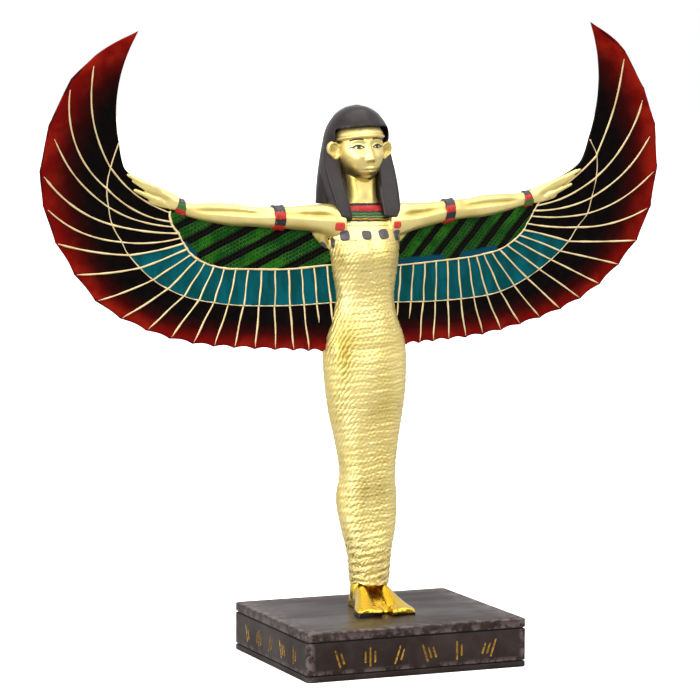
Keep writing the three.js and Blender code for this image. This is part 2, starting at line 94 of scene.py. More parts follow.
# Distance from the middle plane, half height, half depth, axis Y, axis Z
ARM = [
    (12, 8.4, 7.2, 20.4, 214.5),
    (20, 8.0, 6.8, 20.2, 217.0),
    (28, 6.7, 6.0, 20.6, 218.0),
    (38, 5.7, 5.3, 21.2, 218.8),
    (48, 5.3, 4.9, 22.2, 219.6),
    (58, 4.9, 4.6, 23.8, 220.2),
    (68, 5.5, 4.8, 25.8, 221.2),
    (78, 4.9, 4.4, 27.6, 222.2),
    (88, 3.8, 3.6, 29.4, 223.3),
    (97, 3.5, 3.0, 30.0, 225.7),
]
ARM_TILT = {"height": 1.2, "from": 24, "run": 30, "wrist": 100, "fade": 12}
ARMBAND = {"from": 43.2, "to": 48.8, "proud": 0.75}
BRACELET = {"from": 91.8, "to": 97.0, "proud": 0.65}
PALM = [
    (0, 3.3, 2.8, 96, 226.0),
    (0.5, 4.1, 2.3, 102.5, 228.3),
    (1, 4.5, 1.9, 109.8, 231.3),
]
# Start and end of each finger as distance and height, and its radius
FINGERS = [
    ((109.0, 234.0), (120.6, 239.9), 1.3),
    ((109.4, 232.9), (122.3, 240.2), 1.4),
    ((109.4, 231.6), (119.4, 237.2), 1.35),
    ((106.2, 227.6), (118.0, 232.7), 1.75),
]
HAND_LIFT = 1.0

# Feather line, its root, middle and tip as distance and height, then its bow before and after the middle
RIGHT_ARM_WING = [
    (-1, 96.1, 225.6, 127.3, 256.0, 121.1, 309.2, 8.7, 5.2),
    (0, 99.4, 221.4, 131.0, 243.5, 142.3, 297.3, 2.7, 5.2),
    (1, 98.8, 217.0, 132.3, 233.8, 153.6, 286.4, 3.2, 8.2),
    (2, 97.7, 214.5, 131.0, 224.5, 163.5, 264.5, 2.0, 4.2),
    (3, 95.0, 211.3, 128.8, 216.0, 166.8, 242.5, 1.1, 4.0),
    (4, 93.9, 209.0, 123.9, 207.5, 164.3, 225.9, 1.4, 3.9),
    (5, 92.4, 206.4, 120.3, 201.1, 157.1, 207.6, 0.7, 1.2),
    (7, 88.5, 200.9, 108.0, 188.9, 137.1, 179.2, 0, 0.8),
    (9, 81.6, 196.6, 92.4, 180.6, 111.5, 164.1, 0, 0),
    (11, 71.8, 193.9, 77.4, 177.1, 88.1, 157.0, 0, 0),
    (13, 59.8, 193.3, 62.5, 175.4, 67.4, 154.5, 0, 0),
    (16, 39.5, 193.0, 39.2, 175.0, 37.6, 152.6, 0, 0),
    (19, 19.8, 194.6, 18.4, 176.0, 16.5, 151.6, 0, 0),
    (20, 11.0, 195.0, 10.5, 176.2, 9.5, 151.0, 0, 0),
]
LEFT_ARM_WING = [
    (-1, 98.3, 226.8, 127.0, 255.6, 120.5, 315.3, 7.6, 5.4),
    (0, 100.7, 224.2, 131.6, 247.3, 140.9, 301.2, 1.9, 2.6),
    (1, 99.6, 221.9, 132.5, 236.3, 154.3, 281.9, 2.6, 5.4),
    (2, 97.9, 219.4, 130.8, 225.6, 162.9, 263.7, 2.0, 4.9),
    (3, 96.5, 216.6, 128.8, 217.3, 166.8, 241.5, 1.2, 3.9),
    (4, 93.9, 212.9, 123.3, 210.4, 165.3, 221.1, 0.8, 3.3),
    (5, 92.0, 209.6, 118.3, 203.2, 158.6, 203.0, -0.4, 0.4),
    (7, 86.4, 204.6, 108.3, 194.0, 137.2, 180.6, 0, 0),
    (9, 77.9, 200.0, 94.3, 185.0, 114.3, 168.2, 0, 0),
    (11, 68.6, 198.0, 78.4, 178.6, 90.4, 161.1, 0, 0),
    (13, 59.4, 196.6, 62.4, 176.2, 67.9, 156.8, 0, 0),
    (16, 40.6, 195.2, 39.8, 175.2, 38.1, 154.7, 0, 0),
    (19, 20.2, 193.8, 18.2, 175.4, 15.5, 153.6, 0, 0),
    (20, 11.0, 193.6, 10.5, 175.6, 9.5, 153.0, 0, 0),
]
WING_LINES = {-1: RIGHT_ARM_WING, 1: LEFT_ARM_WING}
WING = {
    "first": -1,
    "last": 20,
    "root_depth": 21,
    "sweep": 9,
    "span": 110,
    "lean": 0.1,
    "curl": 18,
    "curl_reach": 91,
    "thickness": 3.0,
    "tip_thickness": 1.8,
    "inner_edge": 0.5,
    "covert_step": 0.7,
    "row_step": 0.6,
    "ridge": 0.3,
    "notch": 1.1,
}
TEAL_FROM_LINE = 5
LAST_GILT_LINE = 19
# How far short of the edge the gilt of a feather line stops, by line
LINE_SHORT = {0: 5.0, 1: 5.4, 2: 7.0, 3: 3.0, 4: 3.3}
LINE_SHORT_ELSEWHERE = 0.9
LINE_BEAD = {"width": 0.46, "height": 0.42}
MIDDLE_BEAD = {"width": 0.36, "height": 0.34}
ROOT_BEAD = {"width": 0.56, "height": 0.5}

HEAD = {
    "y": 27.5,
    "eye_z": 252.7,
    "crown_z": 268.5,
    "chin_z": 234.8,
    "half_width": 12.2,
    "front": 13.3,
    "back": 13.5,
}
HEADBAND = {"bottom": 257.4, "top": 262.4, "proud": 0.6}
WIG_CLIP = {"x": 13.8, "y": 27, "z": 262.8, "ear_z": 256.6}
# Height, half width, half depth, axis Y
WIG = [
    (224.5, 20.4, 11.5, 33.6),
    (236, 19.7, 13.0, 33.2),
    (247, 18.1, 14.4, 33.0),
    (255, 16.8, 15.8, 31.8),
    (262, 15.4, 16.2, 30.3),
    (268.8, 10.9, 11.8, 30.3),
    (272.4, 5.4, 6.4, 30.4),
    (273.6, 0.6, 0.8, 30.5),
]
# Height, inner X, outer X, front Y, back Y
LAPPETS = {
    -1: [
        (217.8, 8.6, 15.9, 13.6, 24),
        (224, 9.0, 16.9, 15.4, 27),
        (234, 10.3, 18.6, 19.2, 31),
        (244, 10.5, 19.3, 24.4, 33),
        (252, 11.2, 18.0, 28.4, 34),
    ],
    1: [
        (217.8, 8.2, 18.0, 13.6, 24),
        (224, 7.8, 18.2, 15.4, 27),
        (234, 7.8, 18.4, 19.2, 31),
        (244, 9.0, 18.2, 24.4, 33),
        (252, 10.8, 17.4, 28.4, 34),
    ],
}
HEAD_POSE = {"y": 27.5, "z": 252, "back": 8, "aside": 2.5, "drop": 1.4}
EAR = {"x": 13.9, "y": 26.0, "z": 251.0, "half_width": 3.5, "half_height": 4.7, "depth": 2.2}
COLLAR = {"top": 225.2, "bottom": 216.4, "proud": 0.9}

# Each foot's ankle X, toe-end X and Y, and which side its big toe is on
ANKLE_Y = 12.5
FEET = [(-4.9, -11.4, -16.4, 1), (4.7, 5.7, -18.6, -1)]
# Share of the foot from heel to toes, half width, height
FOOT = [
    (0, 2.6, 4.5),
    (0.08, 4.1, 8.5),
    (0.22, 4.6, 12.5),
    (0.4, 4.7, 11.8),
    (0.6, 5.4, 8.6),
    (0.82, 6.6, 5.4),
    (1, 6.2, 3.6),
]
HEEL_Y = 20.5
TOE_COUNT = 5


# Numbers


def mix(a, b, share):
    return a + (b - a) * share


def ease(share):
    t = np.clip(share, 0, 1)
    return t * t * (3 - 2 * t)


def bump(distance, spread):
    return np.exp(-0.5 * (distance / spread) ** 2)


def read(table, at):
    """Columns of a table after its first, along a smooth curve through its rows."""
    rows = np.array(table, float)
    at = np.asarray(at, float)
    i = np.clip(np.searchsorted(rows[:, 0], at) - 1, 0, len(rows) - 2)
    before, start = rows[np.maximum(i - 1, 0)], rows[i]
    end, after = rows[i + 1], rows[np.minimum(i + 2, len(rows) - 1)]
    gap = end[..., :1] - start[..., :1]
    t = np.clip((at[..., None] - start[..., :1]) / gap, 0, 1)
    slope_in = (end - before) / (end[..., :1] - before[..., :1]) * gap
    slope_out = (after - start) / (after[..., :1] - start[..., :1]) * gap
    t2, t3 = t * t, t * t * t
    found = (
        (2 * t3 - 3 * t2 + 1) * start
        + (t3 - 2 * t2 + t) * slope_in
        + (3 * t2 - 2 * t3) * end
        + (t3 - t2) * slope_out
    )
    return tuple(np.moveaxis(found[..., 1:], -1, 0))


def waves(x, z, pitch, seed, layers=3):
    """Smooth unevenness between about -1 and 1 over a plane, the same each run."""
    rng = np.random.default_rng(seed)
    total = np.zeros_like(np.asarray(x + z, float))
    for layer in range(layers):
        turn = rng.uniform(0, TURN, 4)
        size = TURN / (pitch * 0.62**layer)
        total += 0.5**layer * (
            np.sin(size * (x * math.cos(turn[0]) + z * math.sin(turn[0])) + turn[1])
            * np.cos(size * 0.8 * (z * math.cos(turn[2]) - x * math.sin(turn[2])) + turn[3])
        )
    return total / 1.5


def posed(points):
    """Points of the head after it is tipped back a little and leant to the viewer's left."""
    back, aside = math.radians(HEAD_POSE["back"]), math.radians(HEAD_POSE["aside"])
    x, y, z = points[..., 0], points[..., 1] - HEAD_POSE["y"], points[..., 2] - HEAD_POSE["z"]
    y, z = y * math.cos(back) + z * math.sin(back), z * math.cos(back) - y * math.sin(back)
    x, z = x * math.cos(aside) - z * math.sin(aside), z * math.cos(aside) + x * math.sin(aside)
    return np.stack([x, y + HEAD_POSE["y"], z + HEAD_POSE["z"] - HEAD_POSE["drop"]], -1)


# Meshes


def piece(name, points, faces, masks=None, smooth=True):
    mesh = bpy.data.meshes.new(name)
    mesh.from_pydata((np.asarray(points) * MM).tolist(), [], np.asarray(faces).tolist())
    for mask, values in (masks or {}).items():
        layer = mesh.attributes.new(mask, "FLOAT", "POINT")
        layer.data.foreach_set("value", np.asarray(values, np.float32).ravel())
    mesh.update()
    if smooth:
        mesh.shade_smooth()
    made = bpy.data.objects.new(name, mesh)
    bpy.context.scene.collection.objects.link(made)
    return made


def grid_faces(rows, columns, closed=False):
    """Quads over a grid of points; closed joins the last column to the first."""
    row = np.arange(rows - 1)[:, None]
    column = np.arange(columns if closed else columns - 1)[None, :]
    along = (column + 1) % columns
    corners = (
        row * columns + column,
        row * columns + along,
        (row + 1) * columns + along,
        (row + 1) * columns + column,
    )
    return np.stack([np.broadcast_to(c, (rows - 1, column.shape[1])) for c in corners], -1).reshape(-1, 4)


def tube_piece(name, points, masks=None):
    """Closed skin over rings, points[ring, turn]; its two ends are filled from their middles."""
    rings, turns = points.shape[:2]
    faces = grid_faces(rings, turns, closed=True).tolist()
    flat = points.reshape(-1, 3)
    ends = np.stack([points[0].mean(0), points[-1].mean(0)])
    low, high = rings * turns, rings * turns + 1
    for i in range(turns):
        nxt = (i + 1) % turns
        faces.append([low, nxt, i])
        faces.append([high, (rings - 1) * turns + i, (rings - 1) * turns + nxt])
    named = {}
    for mask, values in (masks or {}).items():
        values = np.asarray(values)
        named[mask] = np.concatenate([values.ravel(), [values[0].mean(), values[-1].mean()]])
    return piece_of_lists(name, np.concatenate([flat, ends]), faces, named)


def piece_of_lists(name, points, faces, masks=None):
    mesh = bpy.data.meshes.new(name)
    mesh.from_pydata((points * MM).tolist(), [], faces)
    for mask, values in (masks or {}).items():
        layer = mesh.attributes.new(mask, "FLOAT", "POINT")
        layer.data.foreach_set("value", np.asarray(values, np.float32).ravel())
    mesh.update()
    mesh.shade_smooth()
    made = bpy.data.objects.new(name, mesh)
    bpy.context.scene.collection.objects.link(made)
    return made


def sheet_piece(name, front, back, masks=None):
    """Closed sheet between two grids of the same size."""
    rows, columns = front.shape[:2]
    count = rows * columns
    quads = grid_faces(rows, columns)
    around = np.concatenate([
        np.arange(columns),
        np.arange(1, rows) * columns + columns - 1,
        (rows - 1) * columns + np.arange(columns - 2, -1, -1),
        np.arange(rows - 2, 0, -1) * columns,
    ])
    onward = np.roll(around, -1)
    rim = np.stack([onward, around, around + count, onward + count], -1)
    faces = np.concatenate([quads, quads[:, ::-1] + count, rim])
    points = np.concatenate([front.reshape(-1, 3), back.reshape(-1, 3)])
    named = {mask: np.concatenate([np.ravel(a), np.ravel(b)]) for mask, (a, b) in (masks or {}).items()}
    return piece(name, points, faces, named)


def points_of(made):
    found = np.empty(len(made.data.vertices) * 3, np.float32)
    made.data.vertices.foreach_get("co", found)
    return found.reshape(-1, 3) / MM


def add_mask(made, mask, values):
    layer = made.data.attributes.new(mask, "FLOAT", "POINT")
    layer.data.foreach_set("value", np.asarray(values, np.float32).ravel())


def outward(made):
    """Turns the faces of a closed mesh outwards."""
    import bmesh
    edit = bmesh.new()
    edit.from_mesh(made.data)
    bmesh.ops.recalc_face_normals(edit, faces=edit.faces)
    edit.to_mesh(made.data)
    edit.free()
    return made


def settle(made):
    """Applies a mesh's modifiers."""
    seen = made.evaluated_get(bpy.context.evaluated_depsgraph_get())
    mesh = bpy.data.meshes.new_from_object(seen)
    mesh.name = made.name
    old = made.data
    made.modifiers.clear()
    made.data = mesh
    bpy.data.meshes.remove(old)
    return made


def melted(name, parts, voxel, rounds, strength=0.5):
    """One skin over overlapping closed parts, with their joints softened."""
    for part in parts:
        outward(part)
    whole = parts[0]
    with bpy.context.temp_override(
        active_object=whole, object=whole, selected_editable_objects=parts, selected_objects=parts
    ):
        bpy.ops.object.join()
    whole.name = name
    remesh = whole.modifiers.new("skin", "REMESH")
    remesh.mode = "VOXEL"
    remesh.voxel_size = voxel * MM
    remesh.use_smooth_shade = True
    soften = whole.modifiers.new("soften", "SMOOTH")
    soften.factor = strength
    soften.iterations = rounds
    return settle(whole)


def place(made, slot_name, material, *nodes):
    made.data.materials.clear()
    made.data.materials.append(material)
    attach(made, "root")
    if nodes:
        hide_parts(*nodes)
    return made


# Forms of the body


def trunk_point(z, turn, out=0.0):
    half_width, front, back, axis = read(TRUNK, z)
    angle = turn * TURN
    side, ahead = np.sin(angle), np.cos(angle)
    x = half_width * side
    y = axis - np.where(ahead > 0, front, back) * ahead
    facing, behind = np.maximum(ahead, 0), np.maximum(-ahead, 0)
    breast = np.maximum(bump(x - BREAST["x"], BREAST["spread"]), bump(x + BREAST["x"], BREAST["spread"]))
    y = y - facing * BREAST["height"] * breast * bump(z - BREAST["z"], BREAST["spread"])
    y = y - facing * BELLY["height"] * bump(z - BELLY["z"], BELLY["spread"])
    length = ease((z - THIGH_HOLLOW["low"]) / 16) * ease((THIGH_HOLLOW["high"] - z) / 16)
    y = y + (ahead > 0) * THIGH_HOLLOW["depth"] * length * bump(x, THIGH_HOLLOW["width"])
    groin = np.maximum(bump(x - GROIN["x"], GROIN["width"]), bump(x + GROIN["x"], GROIN["width"]))
    y = y + facing * GROIN["depth"] * groin * bump(z - GROIN["z"], GROIN["height"])
    fold = bump(z - BELLY_FOLD["z"] + 0.012 * x * x, BELLY_FOLD["spread"]) * bump(x, BELLY_FOLD["reach"])
    y = y + facing * BELLY_FOLD["depth"] * fold
    knee = np.maximum(bump(x - KNEE["x"], KNEE["spread"]), bump(x + KNEE["x"], KNEE["spread"]))
    y = y - facing * KNEE["height"] * knee * bump(z - KNEE["z"], KNEE["spread"])
    seat = np.maximum(bump(x - SEAT["x"], SEAT["spread"]), bump(x + SEAT["x"], SEAT["spread"]))
    y = y + behind * SEAT["height"] * seat * bump(z - SEAT["z"], SEAT["spread"])
    return np.stack([x + out * side, y - out * ahead, z + 0 * x], -1)


def arm_tilt(distance, side):
    t = ARM_TILT
    rise = ease((distance - t["from"]) / t["run"]) * ease((t["wrist"] - distance) / t["fade"])
    return side * t["height"] * rise


def arm_point(distance, turn, side, out=0.0):
    half_height, half_depth, y, z = read(ARM, distance)
    angle = turn * TURN
    return np.stack([
        side * distance + 0 * angle,
        y - (half_depth + out) * np.cos(angle),
        z + arm_tilt(distance, side) + (half_height + out) * np.sin(angle),
    ], -1)


def wing_depth(x, z):
    rise = np.maximum(0, 0.35 * (x - 97) + 0.94 * (z - 224))
    lean = WING["lean"] * np.maximum(0, 195 - z) * np.maximum(0, 1 - x / 150)
    swept = WING["root_depth"] + WING["sweep"] * ease(x / WING["span"])
    return swept - lean - WING["curl"] * (rise / WING["curl_reach"]) ** 1.35


def bowed(x0, z0, x1, z1, bow, share):
    length = np.hypot(x1 - x0, z1 - z0)
    across = bow * 4 * share * (1 - share) / length
    return mix(x0, x1, share) + (z1 - z0) * across, mix(z0, z1, share) - (x1 - x0) * across


def wing_plan(side, line, station, notch=True):
    """Distance from the middle plane and height at a feather line and station 0..3."""
    lines = WING_LINES[side]
    line, station = np.broadcast_arrays(np.asarray(line, float), np.asarray(station, float))
    root_x, root_z, mid_x, mid_z, tip_x, tip_z, inner_bow, bow = read(lines, line)
    shoulder = np.minimum(root_x * 0.97, 96)
    base_z = read(ARM, shoulder)[3] + arm_tilt(shoulder, side)
    between = 2 * np.abs(line - np.round(line))
    length = np.hypot(tip_x - mid_x, tip_z - mid_z)
    scallop = np.sin(between * TURN / 4) * np.where(line > 0, WING["notch"], -0.8 * (line > -1)) if notch else 0
    share = np.clip(station - 2, 0, 1) * (1 - scallop / length)
    covert = bowed(shoulder, base_z, root_x, root_z, 0, np.clip(station, 0, 1))
    to_middle = np.clip(station - 1, 0, 1)
    late = np.minimum(1, to_middle / 0.75) ** (1.3 * np.maximum(0, -line))
    row = bowed(root_x, root_z, mid_x, mid_z, inner_bow * late, to_middle)
    vane = bowed(mid_x, mid_z, tip_x, tip_z, bow, share)
    x = np.where(station <= 1, covert[0], np.where(station <= 2, row[0], vane[0]))
    z = np.where(station <= 1, covert[1], np.where(station <= 2, row[1], vane[1]))
    return x, z


def step_down(station, at, width):
    return ease((at + width - station) / (2 * width))


def wing_lift(line, station, pitch):
    """How far the wing's front stands before its middle surface; pitch is the lines' spacing there."""
    covert = WING["covert_step"] * step_down(station, 1, 0.012)
    row = WING["row_step"] * step_down(station, 2, 0.01)
    off_line = np.abs(line - np.round(line)) * pitch
    quilt = WING["ridge"] * bump(off_line, 0.55) * ease((station - 0.98) / 0.04)
    return covert + row + quilt


def wing_front(side, line, station, out=0.0, notch=True):
    x, z = wing_plan(side, line, station, notch)
    return np.stack([side * x, wing_depth(x, z) - wing_lift(line, station, 4) - out, z], -1)


# The paints' shared effects


def add_node(tree, kind, inputs=None, **settings):
    made = tree.nodes.new(kind)
    for name, value in settings.items():
        setattr(made, name, value)
    for socket, value in (inputs or {}).items():
        if isinstance(value, bpy.types.NodeSocket):
            tree.links.new(value, made.inputs[socket])
        else:
            made.inputs[socket].default_value = value
    return made


def group_of(name, takes, gives):
    """An empty node group; takes and gives map a socket's name to its kind, and takes to its value too."""
    group = bpy.data.node_groups.new(name, "ShaderNodeTree")
    for socket, value in takes.items():
        kind = "NodeSocketColor" if isinstance(value, tuple) else "NodeSocketFloat"
        made = group.interface.new_socket(socket, in_out="INPUT", socket_type=kind)
        made.default_value = value
    for socket, kind in gives.items():
        group.interface.new_socket(socket, in_out="OUTPUT", socket_type=kind)
    return group, group.nodes.new("NodeGroupInput").outputs, group.nodes.new("NodeGroupOutput").inputs


def maths(tree, operation, a, b=0.5, clamp=False):
    return add_node(tree, "ShaderNodeMath", {0: a, 1: b}, operation=operation, use_clamp=clamp).outputs[0]


def span(tree, value, low, high, to_low=0.0, to_high=1.0):
    made = add_node(
        tree, "ShaderNodeMapRange",
        {"Value": value, "From Min": low, "From Max": high, "To Min": to_low, "To Max": to_high},
        interpolation_type="SMOOTHSTEP",
    )
    return made.outputs["Result"]


def blend_colours(tree, share, a, b, how="MIX"):
    made = add_node(tree, "ShaderNodeMix", data_type="RGBA", blend_type=how, clamp_factor=True)
    for socket, value in ((0, share), (6, a), (7, b)):
        if isinstance(value, bpy.types.NodeSocket):
            tree.links.new(value, made.inputs[socket])
        else:
            made.inputs[socket].default_value = value
    return made.outputs[2]


def noise(tree, scale, detail=3.0, roughness=0.5, stretch=None, distortion=0.0):
    place_on = add_node(tree, "ShaderNodeTexCoord").outputs["Object"]
    if stretch:
        place_on = add_node(tree, "ShaderNodeMapping", {"Vector": place_on, "Scale": stretch}).outputs[0]
    made = add_node(
        tree, "ShaderNodeTexNoise",
        {"Vector": place_on, "Scale": scale, "Detail": detail, "Roughness": roughness, "Distortion": distortion},
    )
    return made.outputs["Fac"]


def mask_of(tree, name):
    return add_node(tree, "ShaderNodeAttribute", attribute_name=name).outputs["Fac"]


def make_gilding_group():
    """Brushed gold paint: patches of two golds, taken toward the deep gold by painted shade, or by wear on the gilt
    strokes, with thin and thick places.
    """
    takes = {
        "Light Gold": (1.0, 0.8, 0.3, 1.0),
        "Deep Gold": (0.5, 0.3, 0.02, 1.0),
        "Shade And Wear": 0.0,
        "Roughness": 0.3,
    }
    gives = {"Colour": "NodeSocketColor", "Roughness": "NodeSocketFloat", "Height": "NodeSocketFloat"}
    group, taken, given = group_of("brushed_gilding", takes, gives)
    patches = span(group, noise(group, 70, 3, 0.55), 0.36, 0.7)
    flecks = span(group, noise(group, 900, 2, 0.6), 0.3, 0.75)
    colour = blend_colours(group, maths(group, "MULTIPLY", patches, 0.28), taken["Light Gold"], taken["Deep Gold"])
    # This mix paints shade into the gold, toward the deep gold; the gilt strokes feed it wear instead.
    colour = blend_colours(group, taken["Shade And Wear"], colour, taken["Deep Gold"])
    uneven = maths(group, "MULTIPLY", maths(group, "SUBTRACT", patches, 0.4), 0.16)
    rough = maths(group, "ADD", taken["Roughness"], maths(group, "ADD", uneven, maths(group, "MULTIPLY", flecks, 0.04)))
    height = maths(group, "ADD", maths(group, "MULTIPLY", noise(group, 260, 4, 0.6), 0.75), maths(group, "MULTIPLY", flecks, 0.25))
    for socket, value in (("Colour", colour), ("Roughness", rough), ("Height", height)):
        group.links.new(value, given[socket])
    return group


def make_brush_group():
    """Hand-brushed paint: a colour that thins to a second one in soft strokes."""
    takes = {"Colour": (0.1, 0.1, 0.1, 1.0), "Thin Colour": (0.2, 0.2, 0.2, 1.0), "Thinness": 0.4, "Scale": 220.0}
    gives = {"Colour": "NodeSocketColor", "Roughness": "NodeSocketFloat", "Height": "NodeSocketFloat"}
    group, taken, given = group_of("brushed_paint", takes, gives)
    spots = add_node(group, "ShaderNodeTexNoise", {
        "Vector": add_node(group, "ShaderNodeTexCoord").outputs["Object"],
        "Scale": taken["Scale"],
        "Detail": 4.0,
        "Roughness": 0.6,
        "Distortion": 0.4,
    }).outputs["Fac"]
    strokes = span(group, spots, 0.35, 0.72)
    colour = blend_colours(group, maths(group, "MULTIPLY", strokes, taken["Thinness"]), taken["Colour"], taken["Thin Colour"])
    rough = maths(group, "MULTIPLY_ADD", strokes, 0.18)
    rough.node.inputs[2].default_value = 0.26
    group.links.new(colour, given["Colour"])
    group.links.new(rough, given["Roughness"])
    group.links.new(spots, given["Height"])
    return group


def use_group(tree, group, inputs):
    made = add_node(tree, "ShaderNodeGroup", node_tree=group)
    for socket, value in inputs.items():
        if isinstance(value, bpy.types.NodeSocket):
            tree.links.new(value, made.inputs[socket])
        else:
            made.inputs[socket].default_value = value
    return made.outputs


def new_material(name, **constants):
    """A material with its own shader; constants are set on the shader's sockets."""
    material = bpy.data.materials.new(name)
    material.use_nodes = True
    tree = material.node_tree
    surface = tree.nodes["Principled BSDF"]
    for socket, value in constants.items():
        surface.inputs[socket.replace("_", " ").title().replace("Ior", "IOR")].default_value = value
    return material, tree, surface.inputs


def raise_grain(tree, sockets, height, strength, distance):
    made = add_node(tree, "ShaderNodeBump", {"Height": height, "Strength": strength, "Distance": distance * MM})
    tree.links.new(made.outputs["Normal"], sockets["Normal"])


GILT_METAL = 0.75
LEMON_GOLD = (0.88, 0.72, 0.29, 1.0)
OLIVE_GOLD = (0.42, 0.30, 0.035, 1.0)
YELLOW_GOLD = (0.86, 0.60, 0.07, 1.0)
BROWN_GOLD = (0.42, 0.22, 0.02, 1.0)
CREAM_GOLD = (0.84, 0.70, 0.40, 1.0)
OCHRE = (0.60, 0.36, 0.10, 1.0)
SOOT = (0.002, 0.0012, 0.001, 1.0)
KOHL = (0.012, 0.010, 0.010, 1.0)
DARK_RED = (0.030, 0.001, 0.0005, 1.0)
BLOOD_RED = (0.15, 0.002, 0.001, 1.0)
RUST_RED = (0.24, 0.009, 0.003, 1.0)
ENAMEL_RED = (0.50, 0.012, 0.007, 1.0)
ENAMEL_GREEN = (0.03, 0.13, 0.015, 1.0)
PALE_GREEN = (0.14, 0.30, 0.07, 1.0)
LEAF_GREEN = (0.003, 0.040, 0.004, 1.0)
GRASS_GREEN = (0.012, 0.105, 0.004, 1.0)
CELL_GREEN = (0.085, 0.18, 0.035, 1.0)
TEAL = (0.001, 0.085, 0.105, 1.0)
DEEP_TEAL = (0.001, 0.050, 0.052, 1.0)
SEA_BLUE = (0.002, 0.050, 0.085, 1.0)
HAIR_BROWN = (0.012, 0.007, 0.007, 1.0)
UMBER = (0.016, 0.008, 0.006, 1.0)
DUSTY_UMBER = (0.040, 0.028, 0.026, 1.0)
DUST = (0.26, 0.23, 0.22, 1.0)
SLATE = (0.045, 0.034, 0.040, 1.0)

gilding = make_gilding_group()
brushed = make_brush_group()


def gold_material(name, light, deep, hollow=None, shade_share=0.8, roughness=0.36, grain=0.08, depth=0.12):
    material, tree, sockets = new_material(name, metallic=GILT_METAL)
    # The hollow mask holds painted shade, taking the gold toward the deep gold where shade falls.
    painted_shade = maths(tree, "MULTIPLY", mask_of(tree, hollow), shade_share) if hollow else 0.0
    painted = use_group(tree, gilding, {
        "Light Gold": light, "Deep Gold": deep, "Shade And Wear": painted_shade, "Roughness": roughness,
    })
    tree.links.new(painted["Colour"], sockets["Base Color"])
    tree.links.new(painted["Roughness"], sockets["Roughness"])
    raise_grain(tree, sockets, painted["Height"], grain, depth)
    return material


def painted_material(name, colour, thin, thinness=0.4, scale=220.0, grain=0.3, coat=0.3):
    material, tree, sockets = new_material(name, coat_weight=coat, coat_roughness=0.2)
    painted = use_group(tree, brushed, {
        "Colour": colour, "Thin Colour": thin, "Thinness": thinness, "Scale": scale,
    })
    tree.links.new(painted["Colour"], sockets["Base Color"])
    tree.links.new(painted["Roughness"], sockets["Roughness"])
    raise_grain(tree, sockets, painted["Height"], grain, 0.1)
    return material


def banded_material(name, mask, bands, last, metal_bands=()):
    """Enamel in bands along a mask: each band is (end of the band, colour)."""
    material, tree, sockets = new_material(name, specular_ior_level=0.35, coat_weight=0.1, coat_roughness=0.2)
    wander = maths(tree, "MULTIPLY", maths(tree, "SUBTRACT", noise(tree, 420, 2), 0.5), 0.09)
    at = maths(tree, "ADD", mask_of(tree, mask), wander)
    colour = last
    metal = 1.0 if len(bands) in metal_bands else 0.0
    for i in range(len(bands) - 1, -1, -1):
        end, band = bands[i]
        beyond = span(tree, at, end - 0.012, end + 0.012)
        colour = blend_colours(tree, beyond, band, colour)
        metal = span(tree, beyond, 0.3, 0.7, 1.0 if i in metal_bands else 0.0, metal)
    worn = span(tree, noise(tree, 800, 4, 0.7), 0.62, 0.72)
    colour = blend_colours(tree, worn, colour, LEMON_GOLD)
    metal = maths(tree, "MAXIMUM", metal, worn)
    painted = use_group(tree, brushed, {
        "Colour": colour, "Thin Colour": SOOT, "Thinness": 0.35, "Scale": 500.0,
    })
    tree.links.new(painted["Colour"], sockets["Base Color"])
    tree.links.new(metal, sockets["Metallic"])
    tree.links.new(painted["Roughness"], sockets["Roughness"])
    raise_grain(tree, sockets, painted["Height"], 0.3, 0.1)
    return material


# Dress


NET = {"across": 2.45, "down": 1.85, "depth": 0.5}
BODICE_TOP = 207.5
SPLIT_Z = 124
DRESS_COLUMNS = 300


def net_pits(across, down, x):
    """Depth 0..1 of the net's oval pits; across and down are in millimetres over the dress."""
    left, right = ease((-x - 7) / 9), ease((x - 3) / 9)
    lean = 0.45 + 0.65 * left - 0.75 * right
    long_half, short_half = 0.62 + 0.75 * left + 0.35 * right, 0.4 - 0.08 * (left + right)
    nearest_row = np.round(down / NET["down"])
    pits = 0 * across
    for row_step in (-1, 0, 1):
        row = nearest_row + row_step
        offset = 0.5 * (row % 2)
        nearest = np.round(across / NET["across"] - offset)
        for cell_step in (-1, 0, 1):
            cell = nearest + cell_step
            luck = np.sin(row * 12.9898 + cell * 78.233) * 437.585
            luck = luck - np.floor(luck)
            u = across - (cell + offset) * NET["across"] - 0.5 * (luck - 0.5)
            v = row * NET["down"] - down - 0.35 * (luck * 7 % 1 - 0.5)
            along, aside = u * np.cos(lean) + v * np.sin(lean), v * np.cos(lean) - u * np.sin(lean)
            pit = np.exp(-((along / long_half) ** 2) - (aside / short_half) ** 2)
            pits = np.maximum(pits, pit * (0.55 + 0.45 * (luck * 13 % 1)))
    return pits


# Broad patches of painted shade on the dress's gold: centre X and Z, spread in X and Z, and strength
SHADES = [
    (-15.0, 153.5, 3.0, 6.5, 0.95),
    (-15.5, 140.0, 2.0, 9.0, 0.55),
    (-11.0, 158.5, 4.0, 3.0, 0.35),
    (7.5, 202.0, 2.0, 2.2, 0.5),
    (-14.0, 198.0, 2.5, 3.0, 0.4),
    (4.0, 100.0, 4.5, 22.0, 0.4),
    (-6.5, 84.0, 1.6, 16.0, 0.35),
    (1.0, 186.0, 5.0, 9.0, 0.25),
    (2.5, 66.0, 5.0, 9.0, 0.35),
    (4.0, 135.0, 6.0, 14.0, 0.25),
]


